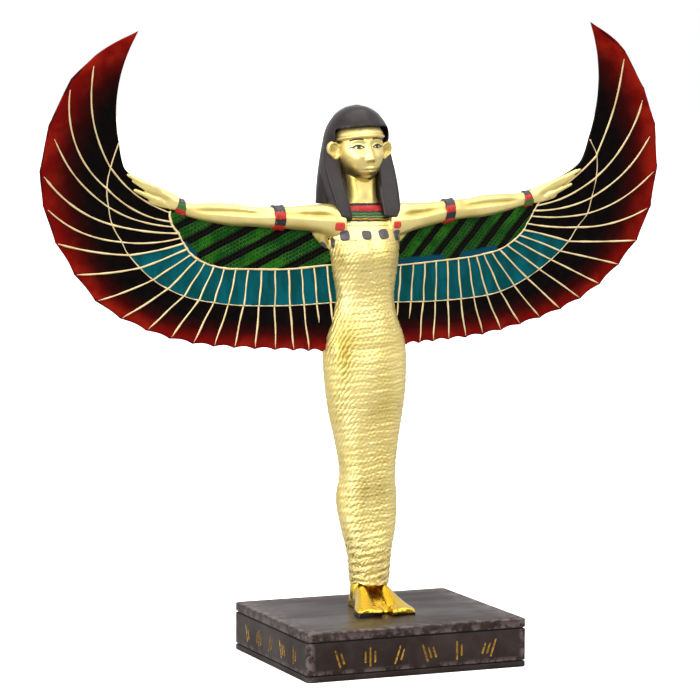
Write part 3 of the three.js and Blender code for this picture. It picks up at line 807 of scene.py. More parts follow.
def dress_part(name, low, high, rows, material):
    z = np.linspace(low, high, rows)[:, None]
    turn = (np.arange(DRESS_COLUMNS) / DRESS_COLUMNS)[None, :]
    body = trunk_point(z, turn)
    x, y = body[..., 0], body[..., 1]
    angle = turn * TURN
    steps = np.linalg.norm(np.roll(body, -1, axis=1) - body, axis=2)
    around = np.cumsum(steps, axis=1) - steps
    girth = steps.sum(axis=1, keepdims=True)
    around = np.where(turn > 0.5, around - girth, around)
    chest = bump(z - BREAST["z"], 7) * np.maximum(np.cos(angle), 0)
    breast = chest * (bump(x - BREAST["x"], 4.5) + bump(x + BREAST["x"], 4.5))
    rough = 0.6 + 0.9 * ease((72 - z) / 30)
    down = BODICE_TOP - z + rough * (1.5 * waves(turn * 150, z, 25, 3) + 0.6 * waves(turn * 110, z, 9, 23)) + 1.6 * breast
    across = around + rough * (0.9 * waves(turn * 160 + 50, z, 28, 5) + 0.5 * waves(turn * 110, z, 8, 29))
    pits = net_pits(across, down, x)
    smooth_rim = ease((z - HEM_Z) / 1.2) * ease((BODICE_TOP - z) / 0.5)
    strength = 0.85 + 0.4 * waves(turn * 90, z, 40, 13)
    billow = 0.22 * waves(turn * 110, z, 7, 37) * (0.5 + rough) * smooth_rim
    out = billow - NET["depth"] * pits * smooth_rim * strength
    body = np.stack([x + out * np.sin(angle), y - out * np.cos(angle), body[..., 2]], -1)
    # Painted shade in the hollow mask: the broad SHADES patches, and the net's pits darkened more where those patches
    # lie.
    shade = 0 * pits
    for shade_x, shade_z, wide, tall, share in SHADES:
        spot = bump(x - shade_x + 0.8 * waves(turn * 90, z, 9, 17), wide) * bump(z - shade_z, tall)
        shade = shade + share * spot * (np.cos(angle) > 0)
    hollow = (0.6 + 0.5 * shade) * pits * smooth_rim * strength + shade * (0.45 + 0.3 * strength)
    if low <= HEM_Z:
        lift = (0.9 * waves(turn * 60, 0 * turn, 14, 9) - 0.1) * ease((HEM_Z + 5 - z) / 5)
        body[..., 2] += lift
        middle = np.array([0, read(TRUNK, HEM_Z)[3].item(), 0])
        inner = []
        for share, rise in ((0.97, -0.25), (0.9, -0.1), (0.82, 1.2)):
            ring = mix(middle, body[:1], share)
            ring[..., 2] = body[:1, :, 2] + rise
            inner.append(ring)
        # The rings turned in under the hem carry painted shade.
        hollow = np.concatenate([np.repeat(hollow[:1] * 0 + 0.7, len(inner), 0), hollow])
        body = np.concatenate(inner[::-1] + [body])
    made = tube_piece(name, body, {"hollow": np.clip(hollow, 0, 1)})
    return place(made, "gold_paint", material, "figure")


net_gold = gold_material(
    "net_gilding", LEMON_GOLD, OLIVE_GOLD, hollow="hollow", shade_share=0.9, roughness=0.36, grain=0.12,
)
skin_gold = gold_material("skin_gilding", LEMON_GOLD, OLIVE_GOLD, hollow="hollow", roughness=0.33)

dress_part("dress_skirt", HEM_Z, SPLIT_Z, 280, net_gold)
bodice_piece = dress_part("dress_bodice", SPLIT_Z, BODICE_TOP, 266, net_gold)


# Skin of the chest, neck, arms and hands


def arm_relief(distance, up, side):
    """Muscles and grooves of an arm's front; up is -1 at its lower edge and 1 at its upper edge."""
    forearm = ease((distance - 54) / 5) * ease((92 - distance) / 12)
    groove = -1.0 * forearm * bump(up - mix(0.42, 0.15, (distance - 56) / 34), 0.17)
    muscle = 0.45 * forearm * bump(up - 0.75, 0.2) + 0.3 * bump(distance - 68, 9) * bump(up + 0.2, 0.35)
    elbow = -0.55 * bump(distance - 54.5, 1.9) * bump(up - 0.45, 0.3)
    biceps = 0.5 * bump(distance - 36, 7) * bump(up + 0.1, 0.4)
    parting = -0.7 * bump(up - 0.38, 0.13) * ease((distance - 30) / 4) * ease((54 - distance) / 8)
    shoulder = -1.5 * bump(up - 0.3, 0.17) * bump(distance - 27, 6)
    return groove + muscle + elbow + biceps + parting + shoulder


def limb_part(name, side):
    distance = np.linspace(12, 97.4, 110)[:, None]
    turn = (np.arange(64) / 64)[None, :]
    body = arm_point(distance, turn, side)
    angle = turn * TURN
    out = np.maximum(np.cos(angle), 0) ** 0.5 * arm_relief(distance, np.sin(angle), side)
    body[..., 1] -= out * np.cos(angle)
    body[..., 2] += out * np.sin(angle)
    return tube_piece(name, body)


def capsule(name, start, end, radius_start, radius_end, squash=1.0, turns=20, rings=14):
    """A rounded finger-like form from start to end; squash thins it along Y."""
    start, end = np.array(start, float), np.array(end, float)
    way = (end - start) / np.linalg.norm(end - start)
    aside = np.cross(way, [0, 1, 0])
    aside = aside / np.linalg.norm(aside)
    depth = np.cross(way, aside)
    length = np.linalg.norm(end - start)
    rise = np.linspace(-1, 1, rings)
    along = np.where(rise < 0, -radius_start * np.abs(rise) ** 0.0 * 0, 0)
    points = []
    for t in np.linspace(0, 1, rings):
        lean = (1 - math.cos(math.pi * t)) / 2
        centre_at = mix(-radius_start, length + radius_end, lean)
        if centre_at < 0:
            radius = math.sqrt(max(radius_start**2 - centre_at**2, 1e-4))
        elif centre_at > length:
            radius = math.sqrt(max(radius_end**2 - (centre_at - length) ** 2, 1e-4))
        else:
            radius = mix(radius_start, radius_end, centre_at / length)
        angle = np.arange(turns) / turns * TURN
        ring = start + way * centre_at + radius * (
            np.cos(angle)[:, None] * aside + squash * np.sin(angle)[:, None] * depth
        )
        points.append(ring)
    return tube_piece(name, np.array(points))


def palm_part(side):
    share = np.linspace(0, 1, 26)[:, None]
    turn = (np.arange(40) / 40)[None, :]
    half_height, half_depth, x, z = read(PALM, share)
    rounded = np.sqrt(np.clip(1 - np.clip((share - 0.72) / 0.28, 0, 1) ** 2.4, 0.02, 1))
    angle = turn * TURN
    lean = half_height * rounded * np.sin(angle) * 0.35
    hollow = 0.7 * bump(np.sin(angle) + 0.1, 0.4) * bump(share - 0.55, 0.22) * (np.cos(angle) > 0)
    y = wing_depth(x, z) - HAND_LIFT - (half_depth * rounded - hollow) * np.cos(angle)
    rise = z + arm_tilt(x, side) + half_height * rounded * np.sin(angle)
    return tube_piece(f"palm_{side}", np.stack([side * (x + 1.2 * share - lean), y, rise], -1))


def hand_part(hand, side):
    parts = [palm_part(side)]
    for i, ((x0, z0), (x1, z1), radius) in enumerate(FINGERS):
        back_x, back_z = x0 - 0.45 * (x1 - x0), z0 - 0.45 * (z1 - z0) - 0.5
        start = (side * back_x, wing_depth(back_x, back_z) - HAND_LIFT - 0.3, back_z)
        knuckle = (side * x0, wing_depth(x0, z0) - HAND_LIFT - 0.9, z0)
        tip = (side * x1, wing_depth(x1, z1) - HAND_LIFT - 0.5 - 0.25 * (i == 1), z1)
        parts.append(capsule(f"knuckle_{side}_{i}", start, knuckle, radius * 0.8, radius * 1.05))
        parts.append(capsule(f"finger_{side}_{i}", knuckle, tip, radius * 1.02, radius * 0.5))
    made = melted(f"{hand}_hand", parts, 0.27, 9)
    x, y, z = points_of(made).T
    # Painted shade along the crease at the root of the fingers.
    crease_shade = 0.6 * bump(z - 228.5 - 0.35 * (np.abs(x) - 102), 0.7) * ease((np.abs(x) - 99) / 3)
    add_mask(made, "hollow", np.clip(crease_shade * ease((115 - np.abs(x)) / 4), 0, 1))
    return place(made, "gold_paint", skin_gold, "figure")


def torso_part():
    z = np.linspace(202, NECK_Z + 8, 80)[:, None]
    turn = (np.arange(90) / 90)[None, :]
    body = trunk_point(z, turn, -0.25)
    x, y = body[..., 0], body[..., 1]
    facing = np.maximum(np.cos(turn * TURN), 0)
    cords = 0.6 * bump(np.abs(x) - 3.8 - 0.12 * (z - 228), 1.0) * ease((z - 223) / 5) * ease((242 - z) / 6)
    pit = 0.6 * bump(x, 1.6) * bump(z - 226, 2.2)
    body[..., 1] = y - facing * (cords - pit)
    return tube_piece("torso", body)


# Upper end, its radius, lower end and its radius of the fold under each arm, for X growing outwards
ARMPITS = {-1: ((24.5, 22.4, 211.0), 3.6, (17.2, 23.2, 200.5), 2.3), 1: ((20.5, 22.4, 210.5), 3.4, (17.0, 23.2, 203.5), 2.3)}


def skin():
    parts = [torso_part()]
    for side in (-1, 1):
        parts.append(limb_part(f"arm_{side}", side))
        (x0, y0, z0), upper, (x1, y1, z1), lower = ARMPITS[side]
        parts.append(capsule(f"armpit_{side}", (side * x0, y0, z0), (side * x1, y1, z1), upper, lower))
        parts.append(capsule(f"shoulder_{side}", (side * 11, 23.6, 219.0), (side * 21, 21.4, 219.2), 4.4, 5.2))
    made = melted("skin", parts, 0.53, 7)
    x, y, z = points_of(made).T
    distance = np.abs(x)
    half_height, _, _, centre = read(ARM, np.clip(distance, 12, 97))
    up = (z - centre - arm_tilt(distance, np.sign(x))) / half_height
    # The hollow mask here is painted shade: in the arms' grooves, under the arms, along their lower sides and on the
    # neck under the chin.
    relief = -arm_relief(distance, up, np.sign(x)) * (distance > 17)
    underarm_shade = 0.75 * bump(distance - 22, 5) * ease((210 - z) / 5)
    below = 0.45 * ease((-0.45 - up) / 0.45) * (distance > 24)
    cords = (0.4 * bump(distance - 5.6, 1.0) + 0.5 * ease((z - 229) / 5)) * ease((z - 223) / 5) * (distance < 12)
    add_mask(made, "hollow", np.clip(0.9 * np.maximum(relief, 0) + underarm_shade + below + cords, 0, 1))
    return place(made, "gold_paint", skin_gold, "figure")


skin_piece = skin()
for hand, side in SIDES.items():
    hand_part(hand, side)


# Patches and bands on the dress and shoulders


def tree_of(*made):
    points, faces = [], []
    for one in made:
        start = len(points)
        points += [v.co.copy() for v in one.data.vertices]
        faces += [[start + i for i in p.vertices] for p in one.data.polygons]
    return BVHTree.FromPolygons(points, faces)


def draped_patch(name, target, centre, half, lift, toward, slot_name, material, tilt=0.0, square=3.2, cells=14):
    """A small raised patch with rounded corners, laid on a surface along the direction toward."""
    toward = Vector(toward).normalized()
    aside = toward.cross(Vector((0, 0, 1))).normalized()
    upward = aside.cross(toward)
    faces, points, found = [], [], {}
    for ring in range(cells + 1):
        reach = ring / cells
        for step in range(4 * cells if ring else 1):
            angle = step / (4 * cells) * TURN
            c, s = math.cos(angle), math.sin(angle)
            radius = reach / (abs(c) ** square + abs(s) ** square) ** (1 / square)
            u, v = half[0] * radius * c, half[1] * radius * s
            u, v = u * math.cos(tilt) - v * math.sin(tilt), u * math.sin(tilt) + v * math.cos(tilt)
            start = Vector(centre) * MM + aside * u * MM + upward * v * MM - toward * 60 * MM
            hit = target.ray_cast(start, toward)
            spot = hit[0] if hit[0] else start + toward * 60 * MM
            out = lift * (1 - reach**8) - 0.3 * reach**8
            found[ring, step] = len(points)
            points.append(np.array(spot - toward * out * MM) / MM)
    for ring in range(cells):
        for step in range(4 * cells):
            nxt = (step + 1) % (4 * cells)
            if ring == 0:
                faces.append([0, found[1, step], found[1, nxt]])
            else:
                faces.append([found[ring, step], found[ring + 1, step], found[ring + 1, nxt], found[ring, nxt]])
    made = piece_of_lists(name, np.array(points), faces)
    return place(made, slot_name, material)


def band_part():
    """The smooth band along the top of the dress."""
    z = np.linspace(BODICE_TOP - 0.5, 214.4, 14)[:, None]
    turn = (np.arange(200) / 200)[None, :]
    share = (z - BODICE_TOP) / (214.4 - BODICE_TOP)
    out = 0.28 * ease((share + 0.08) / 0.12) * ease((1 - share) / 0.12) - 0.1
    body = trunk_point(z, turn, out)
    made = tube_piece("dress_band", body, {"hollow": 0 * body[..., 0]})
    return place(made, "gold_paint", skin_gold, "figure")


band_piece = band_part()
patch_paint = painted_material("patch_paint", SLATE, (0.11, 0.09, 0.11, 1.0), 0.5, 300.0, coat=0.1)
red_paint = painted_material("red_patch_paint", ENAMEL_RED, (0.62, 0.08, 0.03, 1.0), 0.6, 600.0, coat=0.1)

chest = tree_of(skin_piece, band_piece, bodice_piece)
# Centre X and Z, half width and height, and the way it is pressed on
DARK_PATCHES = [
    (-13.2, 209.5, 2.3, 2.5, (0.3, 0.95, 0), 0.08),
    (-2.6, 209.7, 2.5, 2.1, (0, 1, 0), -0.06),
    (6.7, 210.0, 2.8, 2.3, (0, 1, 0), 0.12),
    (15.2, 209.2, 2.0, 2.6, (-0.3, 0.95, 0), 0.1),
]
for i, (x, z, half_width, half_height, toward, tilt) in enumerate(DARK_PATCHES):
    draped_patch(
        f"dark_patch_{i}", chest, (x, 14, z), (half_width + 0.3, half_height + 0.3), 0.45, toward,
        "enamel_paint", patch_paint, tilt,
    )
for i, (x, z, half_width, half_height) in enumerate(((-15.9, 214.0, 2.8, 2.3), (15.0, 214.3, 2.2, 2.0))):
    draped_patch(
        f"red_patch_{i}", chest, (x, 14, z), (half_width, half_height), 0.35, (0, 1, 0),
        "enamel_paint", red_paint, square=4.0,
    )
# Long dark drops under the arms: centre, and the way each is pressed on
SIDE_PATCHES = [
    ((-19.0, 17.0, 205.8), (0.7, 0.7, 0)),
    ((-22.8, 20.0, 203.6), (0.8, 0.6, 0)),
    ((19.0, 17.0, 205.8), (-0.7, 0.7, 0)),
]
for i, (centre, toward) in enumerate(SIDE_PATCHES):
    draped_patch(
        f"side_patch_{i}", chest, centre, (1.5, 3.0), 0.25, toward, "enamel_paint", patch_paint, 0.12, 2.4,
    )


# Collar


COLLAR_BANDS = [
    (0.08, KOHL),
    (0.16, BROWN_GOLD),
    (0.22, KOHL),
    (0.29, PALE_GREEN),
    (0.34, KOHL),
    (0.47, ENAMEL_GREEN),
    (0.55, KOHL),
    (0.87, ENAMEL_RED),
]


def collar():
    share = np.linspace(0, 1, 60)[:, None]
    turn = (np.arange(160) / 160)[None, :]
    z = mix(COLLAR["bottom"], COLLAR["top"], share) + 0.25 * waves(turn * 60, 0 * turn, 9, 41)
    ends = [0] + [end for end, _ in COLLAR_BANDS] + [1]
    pillow = 0 * share
    for low, high in zip(ends[:-1], ends[1:]):
        inside = (share >= low) & (share <= high)
        pillow = pillow + inside * np.sin(np.clip((share - low) / (high - low), 0, 1) * math.pi) ** 0.5
    rim = ease(share / 0.05) * ease((1 - share) / 0.05)
    out = COLLAR["proud"] * rim * (0.45 + 0.4 * share) + 0.3 * pillow * rim
    made = tube_piece("collar", trunk_point(z, turn, out), {"band": share + 0 * turn})
    enamel = banded_material("collar_enamel", "band", COLLAR_BANDS, KOHL, (1,))
    return place(made, "enamel_paint", enamel)


collar()


# Armbands and bracelets


def ring_band(name, side, size, bands, last):
    steps = np.linspace(0, 1, 15)[:, None]
    turn = (np.arange(72) / 72)[None, :]
    distance = mix(size["from"], size["to"], steps)
    edge = np.minimum(steps, 1 - steps) * 2
    rims = bump(edge - 0.18, 0.12) * 0.3
    out = size["proud"] * ease(edge / 0.16) + rims - 0.25 * (1 - ease(edge / 0.08))
    body = arm_point(distance, turn, side, out)
    upward = np.sin(turn * TURN) + 0 * steps
    made = tube_piece(name, body, {"around": upward * 0.5 + 0.5})
    enamel = banded_material(name + "_enamel", "around", bands, last)
    return place(made, "enamel_paint", enamel)


ARMBAND_SQUARES = [(0.20, ENAMEL_RED), (0.47, KOHL), (0.74, ENAMEL_RED)]
RIGHT_BRACELET_SQUARES = [(0.33, ENAMEL_RED), (0.68, ENAMEL_GREEN)]
LEFT_BRACELET_SQUARES = [(0.14, ENAMEL_RED), (0.48, ENAMEL_GREEN), (0.78, ENAMEL_RED)]
for hand, side in SIDES.items():
    ring_band(f"{hand}_armband", side, ARMBAND, ARMBAND_SQUARES, SLATE)
ring_band("right_bracelet", -1, BRACELET, RIGHT_BRACELET_SQUARES, SLATE)
ring_band("left_bracelet", 1, BRACELET, LEFT_BRACELET_SQUARES, SLATE)


# Head


EYE = {"x": 5.0, "half_width": 2.55, "half_height": 1.05, "tilt": 0.06}
BROW_Z = 256.0
NOSE_Z = 245.3
MOUTH_Z = 241.2


def eye_place(x, z):
    """Place in the nearer eye's own frame, x growing outwards."""
    along = np.abs(x) - EYE["x"]
    up = z - HEAD["eye_z"] - EYE["tilt"] * along
    return along, up


def lid_height(along, upper):
    """Height of a lid's edge over the eye's long axis."""
    share = np.clip(1 - (along / EYE["half_width"]) ** 2, 0, 1)
    return EYE["half_height"] * (share if upper else -0.62 * share)


def face_push(x, z):
    along, up = eye_place(x, z)
    upper, lower = lid_height(along, True), lid_height(along, False)
    in_eye = bump(along, 2.0) * bump(up - 0.15, 1.1)
    socket = -1.5 * bump(along, 3.0) * bump(up, 1.9)
    ball = 1.05 * in_eye
    near = ease((EYE["half_width"] + 0.9 - np.abs(along)) / 1.2)
    lids = 0.36 * near * bump(up - upper - 0.3, 0.28) + 0.24 * near * bump(up - lower + 0.25, 0.26)
    brow = 0.4 * bump(z - BROW_Z - 0.25 + 0.045 * along**2, 0.8) * bump(along, 4.2)
    run = np.clip((BROW_Z - z) / (BROW_Z - NOSE_Z - 0.9), 0, 1)
    ridge = (0.5 + 2.2 * run**1.15) * bump(x, 1.05 + 0.3 * run)
    nose = ridge * ease((z - NOSE_Z + 0.9) / 1.5) * ease((BROW_Z + 1.8 - z) / 2.4)
    wings = 0.6 * bump(np.abs(x) - 1.6, 0.55) * bump(z - NOSE_Z - 0.8, 0.7)
    groove = -0.22 * bump(x, 0.45) * bump(z - MOUTH_Z - 2.1, 0.7)
    smile = 0.02 * x * x
    upper_lip = 0.95 * bump(x, 2.1) * bump(z - MOUTH_Z - 0.72 - smile, 0.55)
    lower_lip = 1.05 * bump(x, 1.75) * bump(z - MOUTH_Z + 0.85 - smile, 0.62)
    parting = -0.5 * bump(x, 2.2) * bump(z - MOUTH_Z - smile, 0.22)
    muzzle = 0.55 * bump(x, 3.0) * bump(z - MOUTH_Z, 2.4)
    chin = 1.0 * bump(x, 2.5) * bump(z - HEAD["chin_z"] - 2.0, 1.6)
    under_lip = -0.4 * bump(x, 1.8) * bump(z - MOUTH_Z + 2.3, 0.7)
    cheek = 0.75 * bump(np.abs(x) - 5.8, 2.5) * bump(z - HEAD["eye_z"] + 5.2, 2.8)
    return (
        socket + ball + lids + brow + nose + wings + groove + upper_lip + lower_lip
        + parting + muzzle + chin + under_lip + cheek
    )


def head():
    rows, columns = 150, 170
    rise = -np.cos(np.linspace(0.001, math.pi - 0.001, rows))[:, None]
    around = np.linspace(-math.pi, math.pi, columns, endpoint=False)[None, :]
    angle = around - 0.5 * np.sin(around)
    level = np.sqrt(1 - rise**2)
    east, north = level * np.sin(angle), -level * np.cos(angle)
    z = HEAD["eye_z"] + rise * np.where(
        rise > 0, HEAD["crown_z"] - HEAD["eye_z"], HEAD["eye_z"] - HEAD["chin_z"]
    )
    below = np.maximum(0, -rise)
    jaw = 1 - 0.12 * below - 0.2 * below**4
    x = east * HEAD["half_width"] * jaw
    front = north < 0
    full = np.where(front, 1 + 0.12 * np.sin(math.pi * np.minimum(1, below)), 1)
    y = HEAD["y"] + north * np.where(front, HEAD["front"], HEAD["back"]) * full
    z = z + 0 * x
    y = y - np.where(front, face_push(x, z) * np.minimum(1, -north * 1.6), 0)
    points = np.stack([x, y, z], -1)
    along, up = eye_place(x, z)
    upper, lower = lid_height(along, True), lid_height(along, False)
    facing = front & (north < -0.2)
    thick = 0.3 + 0.12 * ease(along / 2)
    inside = np.abs(along) < EYE["half_width"] + 0.2
    lash = inside * (bump(up - upper - 0.1, thick * 0.75) + 0.6 * bump(up - lower, 0.2))
    tail = bump(up - 0.05 + 0.05 * (along - 3), 0.22) * ease((along - 2.1) / 0.5) * ease((4.3 - along) / 0.6)
    iris = bump(np.hypot(along + 0.1, (up - 0.25) * 1.1), 0.52) * (up < upper + 0.1)
    kohl = facing * np.clip(np.maximum(lash, tail) * 1.3 + 1.5 * iris, 0, 1)
    arch = BROW_Z + 0.9 - 0.055 * (along - 0.4) ** 2
    brow = facing * bump(z - arch, 0.34) * ease((along + 3.1) / 0.8) * ease((4.2 - along) / 1.2)
    # The hollow mask is painted shade: along the lips' parting, at the nostrils and under the jaw.
    parting = bump(x, 2.0) * bump(z - MOUTH_Z - 0.02 * x * x, 0.22)
    rims = np.maximum(0.5 * bump(np.abs(x) - 1.0, 0.4) * bump(z - NOSE_Z + 0.5, 0.25), parting)
    hollow = np.clip(0.75 * rims * facing + 0.5 * ease((240.5 - z) / 3), 0, 1)
    made = tube_piece("head", posed(points), {
        "hollow": hollow,
        "kohl": np.clip(kohl + 0.85 * np.clip(brow * 1.2, 0, 1), 0, 1),
    })
    material, tree, sockets = new_material("face_gilding")
    painted = use_group(tree, gilding, {
        "Light Gold": LEMON_GOLD, "Deep Gold": OLIVE_GOLD,
        "Shade And Wear": maths(tree, "MULTIPLY", mask_of(tree, "hollow"), 0.8), "Roughness": 0.32,
    })
    kohl_edge = span(tree, maths(tree, "ADD", mask_of(tree, "kohl"), maths(tree, "MULTIPLY", noise(tree, 1500, 2), 0.3)), 0.45, 0.75)
    tree.links.new(blend_colours(tree, kohl_edge, painted["Colour"], KOHL), sockets["Base Color"])
    tree.links.new(span(tree, kohl_edge, 0.0, 1.0, 1.0, 0.0), sockets["Metallic"])
    tree.links.new(painted["Roughness"], sockets["Roughness"])
    raise_grain(tree, sockets, painted["Height"], 0.06, 0.12)
    return place(outward(made), "gold_paint", material, "figure")


head()


def headband():
    share = np.linspace(0, 1, 16)[:, None]
    turn = (np.arange(140) / 140)[None, :]
    z = mix(HEADBAND["bottom"], HEADBAND["top"] + 0.3, share)
    level = np.sqrt(1 - ((z - HEAD["eye_z"]) / (HEAD["crown_z"] - HEAD["eye_z"])) ** 2)
    rim = ease(share / 0.14)
    out = 1.2 + HEADBAND["proud"] * rim + 0.18 * bump(share - 0.16, 0.07) - 0.15 * bump(share - 0.32, 0.06)
    angle = turn * TURN
    body = np.stack([
        (HEAD["half_width"] * level + out) * np.sin(angle),
        HEAD["y"] - (HEAD["front"] * level + out) * np.cos(angle),
        z + 0 * angle,
    ], -1)
    # The hollow mask is a thin line of painted shade along the band's groove.
    made = tube_piece("headband", posed(body), {"hollow": bump(share - 0.3, 0.06) * 0.6 + 0 * turn})
    return place(made, "gold_paint", skin_gold)


headband()


def ear(hand, side):
    """A cupped ear facing forward: rim, hollow, small front flap and lobe."""
    reach = np.linspace(0, 1, 26)[:, None]
    turn = (np.arange(64) / 64)[None, :]
    angle = turn * TURN
    across, up = np.cos(angle), np.sin(angle)
    narrow = 1 - 0.28 * ease((-up - 0.2) / 0.8)
    x = reach * across * EAR["half_width"] * narrow
    z = reach * up * EAR["half_height"]
    lobe = ease((-up * reach - 0.45) / 0.3)
    rim = 1.15 * bump(reach - 0.83, 0.12) * (1 - 0.55 * lobe) * (0.45 + 0.55 * ease((across + 0.75) / 0.6))
    bowl = -1.1 * bump(reach, 0.42)
    inner_fold = 0.55 * bump(reach - 0.55, 0.09) * ease((across + 0.2) / 0.5) * (1 - lobe)
    flap = 0.8 * bump(np.hypot(x / EAR["half_width"] + 0.75, z / EAR["half_height"] + 0.1), 0.22)
    height = rim + bowl + inner_fold + flap + 0.5 * lobe * (1 - reach)
    front = EAR["depth"] * 0.4 * np.sqrt(np.clip(1 - reach**2 * 0.96, 0, 1)) + height
    slope = 0.34
    back_points = []
    front_points = np.stack([
        side * (EAR["x"] + x + 0.18 * z),
        EAR["y"] - front + slope * x,
        EAR["z"] + z + 0 * x,
    ], -1)
    back_points = front_points.copy()
    back_points[..., 1] = EAR["y"] + EAR["depth"] * np.sqrt(np.clip(1 - reach**2, 0, 1)) + slope * x + 0.15
    whole = np.concatenate([front_points, back_points[::-1]])
    # Painted shade in the ear's bowl and just inside its rim.
    shade = np.clip(bump(reach, 0.4) * 0.9 + 0.5 * bump(reach - 0.68, 0.06), 0, 1) + 0 * turn
    made = tube_piece(f"{hand}_ear", whole, {"hollow": np.concatenate([shade, shade[::-1] * 0])})
    return place(outward(made), "gold_paint", skin_gold)


for hand, side in SIDES.items():
    ear(hand, side)


# Wig


def lappet_part(side):
    share = np.linspace(0, 1, 40)[:, None]
    turn = (np.arange(48) / 48)[None, :]
    rows = LAPPETS[side]
    z = mix(rows[0][0], rows[-1][0], share)
    inner, outer, front, back = read(rows, z)
    angle = turn * TURN + TURN / 16
    across = np.clip(np.sin(angle) * 1.25, -1, 1)
    ahead = np.clip(np.cos(angle) * 1.25, -1, 1)
    x = side * mix(inner, outer, 0.5 + 0.5 * across)
    y = mix(front, back, 0.5 - 0.5 * ahead)
    slant = -0.9 * (1 - share) ** 4 * across * side
    return tube_piece(f"lappet_{side}", np.stack([x, y, z + slant], -1))


def wig():
    low, high = WIG[0][0], WIG[-1][0]
    share = np.linspace(0, 1, 70)[:, None]
    turn = (np.arange(96) / 96)[None, :]
    z = low + (high - low) * np.sin(share * TURN / 4)
    half_width, half_depth, y = read(WIG, z)
    angle = turn * TURN
    shell = tube_piece("wig_shell", np.stack([
        half_width * np.sin(angle),
        y - half_depth * np.cos(angle),
        z + 0 * angle,
    ], -1))
    outward(shell)
    for reach, top in ((30, WIG_CLIP["ear_z"]), (WIG_CLIP["x"], WIG_CLIP["z"])):
        window = outward(block("face_window", (-reach, -10, low - 5), (reach, WIG_CLIP["y"], top)))
        cut = shell.modifiers.new("face_window", "BOOLEAN")
        cut.operation = "DIFFERENCE"
        cut.object = window
        settle(shell)
        bpy.data.objects.remove(window)
    made = melted("wig", [shell, lappet_part(-1), lappet_part(1)], 0.52, 3)
    x, y, z = points_of(made).T
    add_mask(made, "height", (z - low) / (high - low))
    material, tree, sockets = new_material("wig_paint", specular_ior_level=0.34)
    painted = use_group(tree, brushed, {
        "Colour": HAIR_BROWN, "Thin Colour": UMBER, "Thinness": 0.6, "Scale": 120.0,
    })
    strands = noise(tree, 700, 3, 0.6, stretch=(1.0, 1.0, 0.06))
    tree.links.new(painted["Colour"], sockets["Base Color"])
    tree.links.new(span(tree, strands, 0.3, 0.7, 0.27, 0.36), sockets["Roughness"])
    raise_grain(tree, sockets, strands, 0.05, 0.15)
    return place(made, "wig_paint", material, "figure")


def block(name, low, high):
    corners = [(x, y, z) for z in (low[2], high[2]) for y in (low[1], high[1]) for x in (low[0], high[0])]
    faces = [(0, 2, 3, 1), (4, 5, 7, 6), (0, 1, 5, 4), (2, 6, 7, 3), (0, 4, 6, 2), (1, 3, 7, 5)]
    return piece_of_lists(name, posed(np.array(corners, float)), faces)


wig()


# Wings


STATION_ROWS = np.concatenate([
    np.linspace(0, 0.97, 26),
    np.linspace(0.985, 1.015, 5),
    np.linspace(1.04, 1.97, 28),
    np.linspace(1.985, 2.012, 5),
    np.linspace(2.03, 2.9, 36),
    np.linspace(2.92, 3.0, 7),
])
COLUMNS_PER_LINE = 10


def distance_to_path(x, z, path):
    """Distance in the plan from each point to a polyline."""
    nearest = np.full(x.shape, 1e9)
    for (x0, z0), (x1, z1) in zip(path[:-1], path[1:]):
        dx, dz = x1 - x0, z1 - z0
        share = np.clip(((x - x0) * dx + (z - z0) * dz) / (dx * dx + dz * dz), 0, 1)
        nearest = np.minimum(nearest, np.hypot(x - x0 - dx * share, z - z0 - dz * share))
    return nearest


def wing(hand, side, material):
    line = np.linspace(WING["first"], WING["last"], (WING["last"] - WING["first"]) * COLUMNS_PER_LINE + 1)[None, :]
    station = STATION_ROWS[:, None]
    x, z = wing_plan(side, line, station)
    line, station = np.broadcast_arrays(line, station)
    across = np.gradient(x, axis=1), np.gradient(z, axis=1)
    pitch = np.hypot(*across) * COLUMNS_PER_LINE
    inward = np.where(line < 0, 1 + line * (1 - WING["inner_edge"]), 1)
    thickness = mix(WING["thickness"], WING["tip_thickness"], ease(station - 2)) * inward
    lift = wing_lift(line, station, pitch)
    barbs = 0.05 * np.sin((station * 46 + np.abs(line - np.round(line)) * 9) * math.pi) * (station > 2)
    rounding = 0.55 * (1 - np.sqrt(np.clip(1 - ((station - 2.92) / 0.08).clip(0, 1) ** 2, 0, 1)))
    uneven = 0.12 * waves(x, z, 14, 11 + side)
    depth = wing_depth(x, z)
    front = np.stack([side * x, depth - lift - barbs - uneven + rounding, z], -1)
    ridge = 0.35 * bump(np.abs(line - np.round(line)) * pitch, 0.55) * (station >= 1)
    back_y = depth + thickness + ridge - rounding * 0.8 + 0.12 * waves(x, z, 17, 21 + side)
    back = np.stack([side * x, back_y, z], -1)
    tips = np.stack(wing_plan(side, np.arange(WING["first"], WING["last"] + 1.0), 3.0, notch=False), -1)
    rim = distance_to_path(x, z, tips)
    both = {name: (values, values) for name, values in (("line", line), ("station", station), ("rim", rim))}
    both["front"] = (1 + 0 * rim, 0 * rim)
    made = sheet_piece(f"{hand}_wing", front, back, both)
    return place(made, "wing_paint", material, "figure")


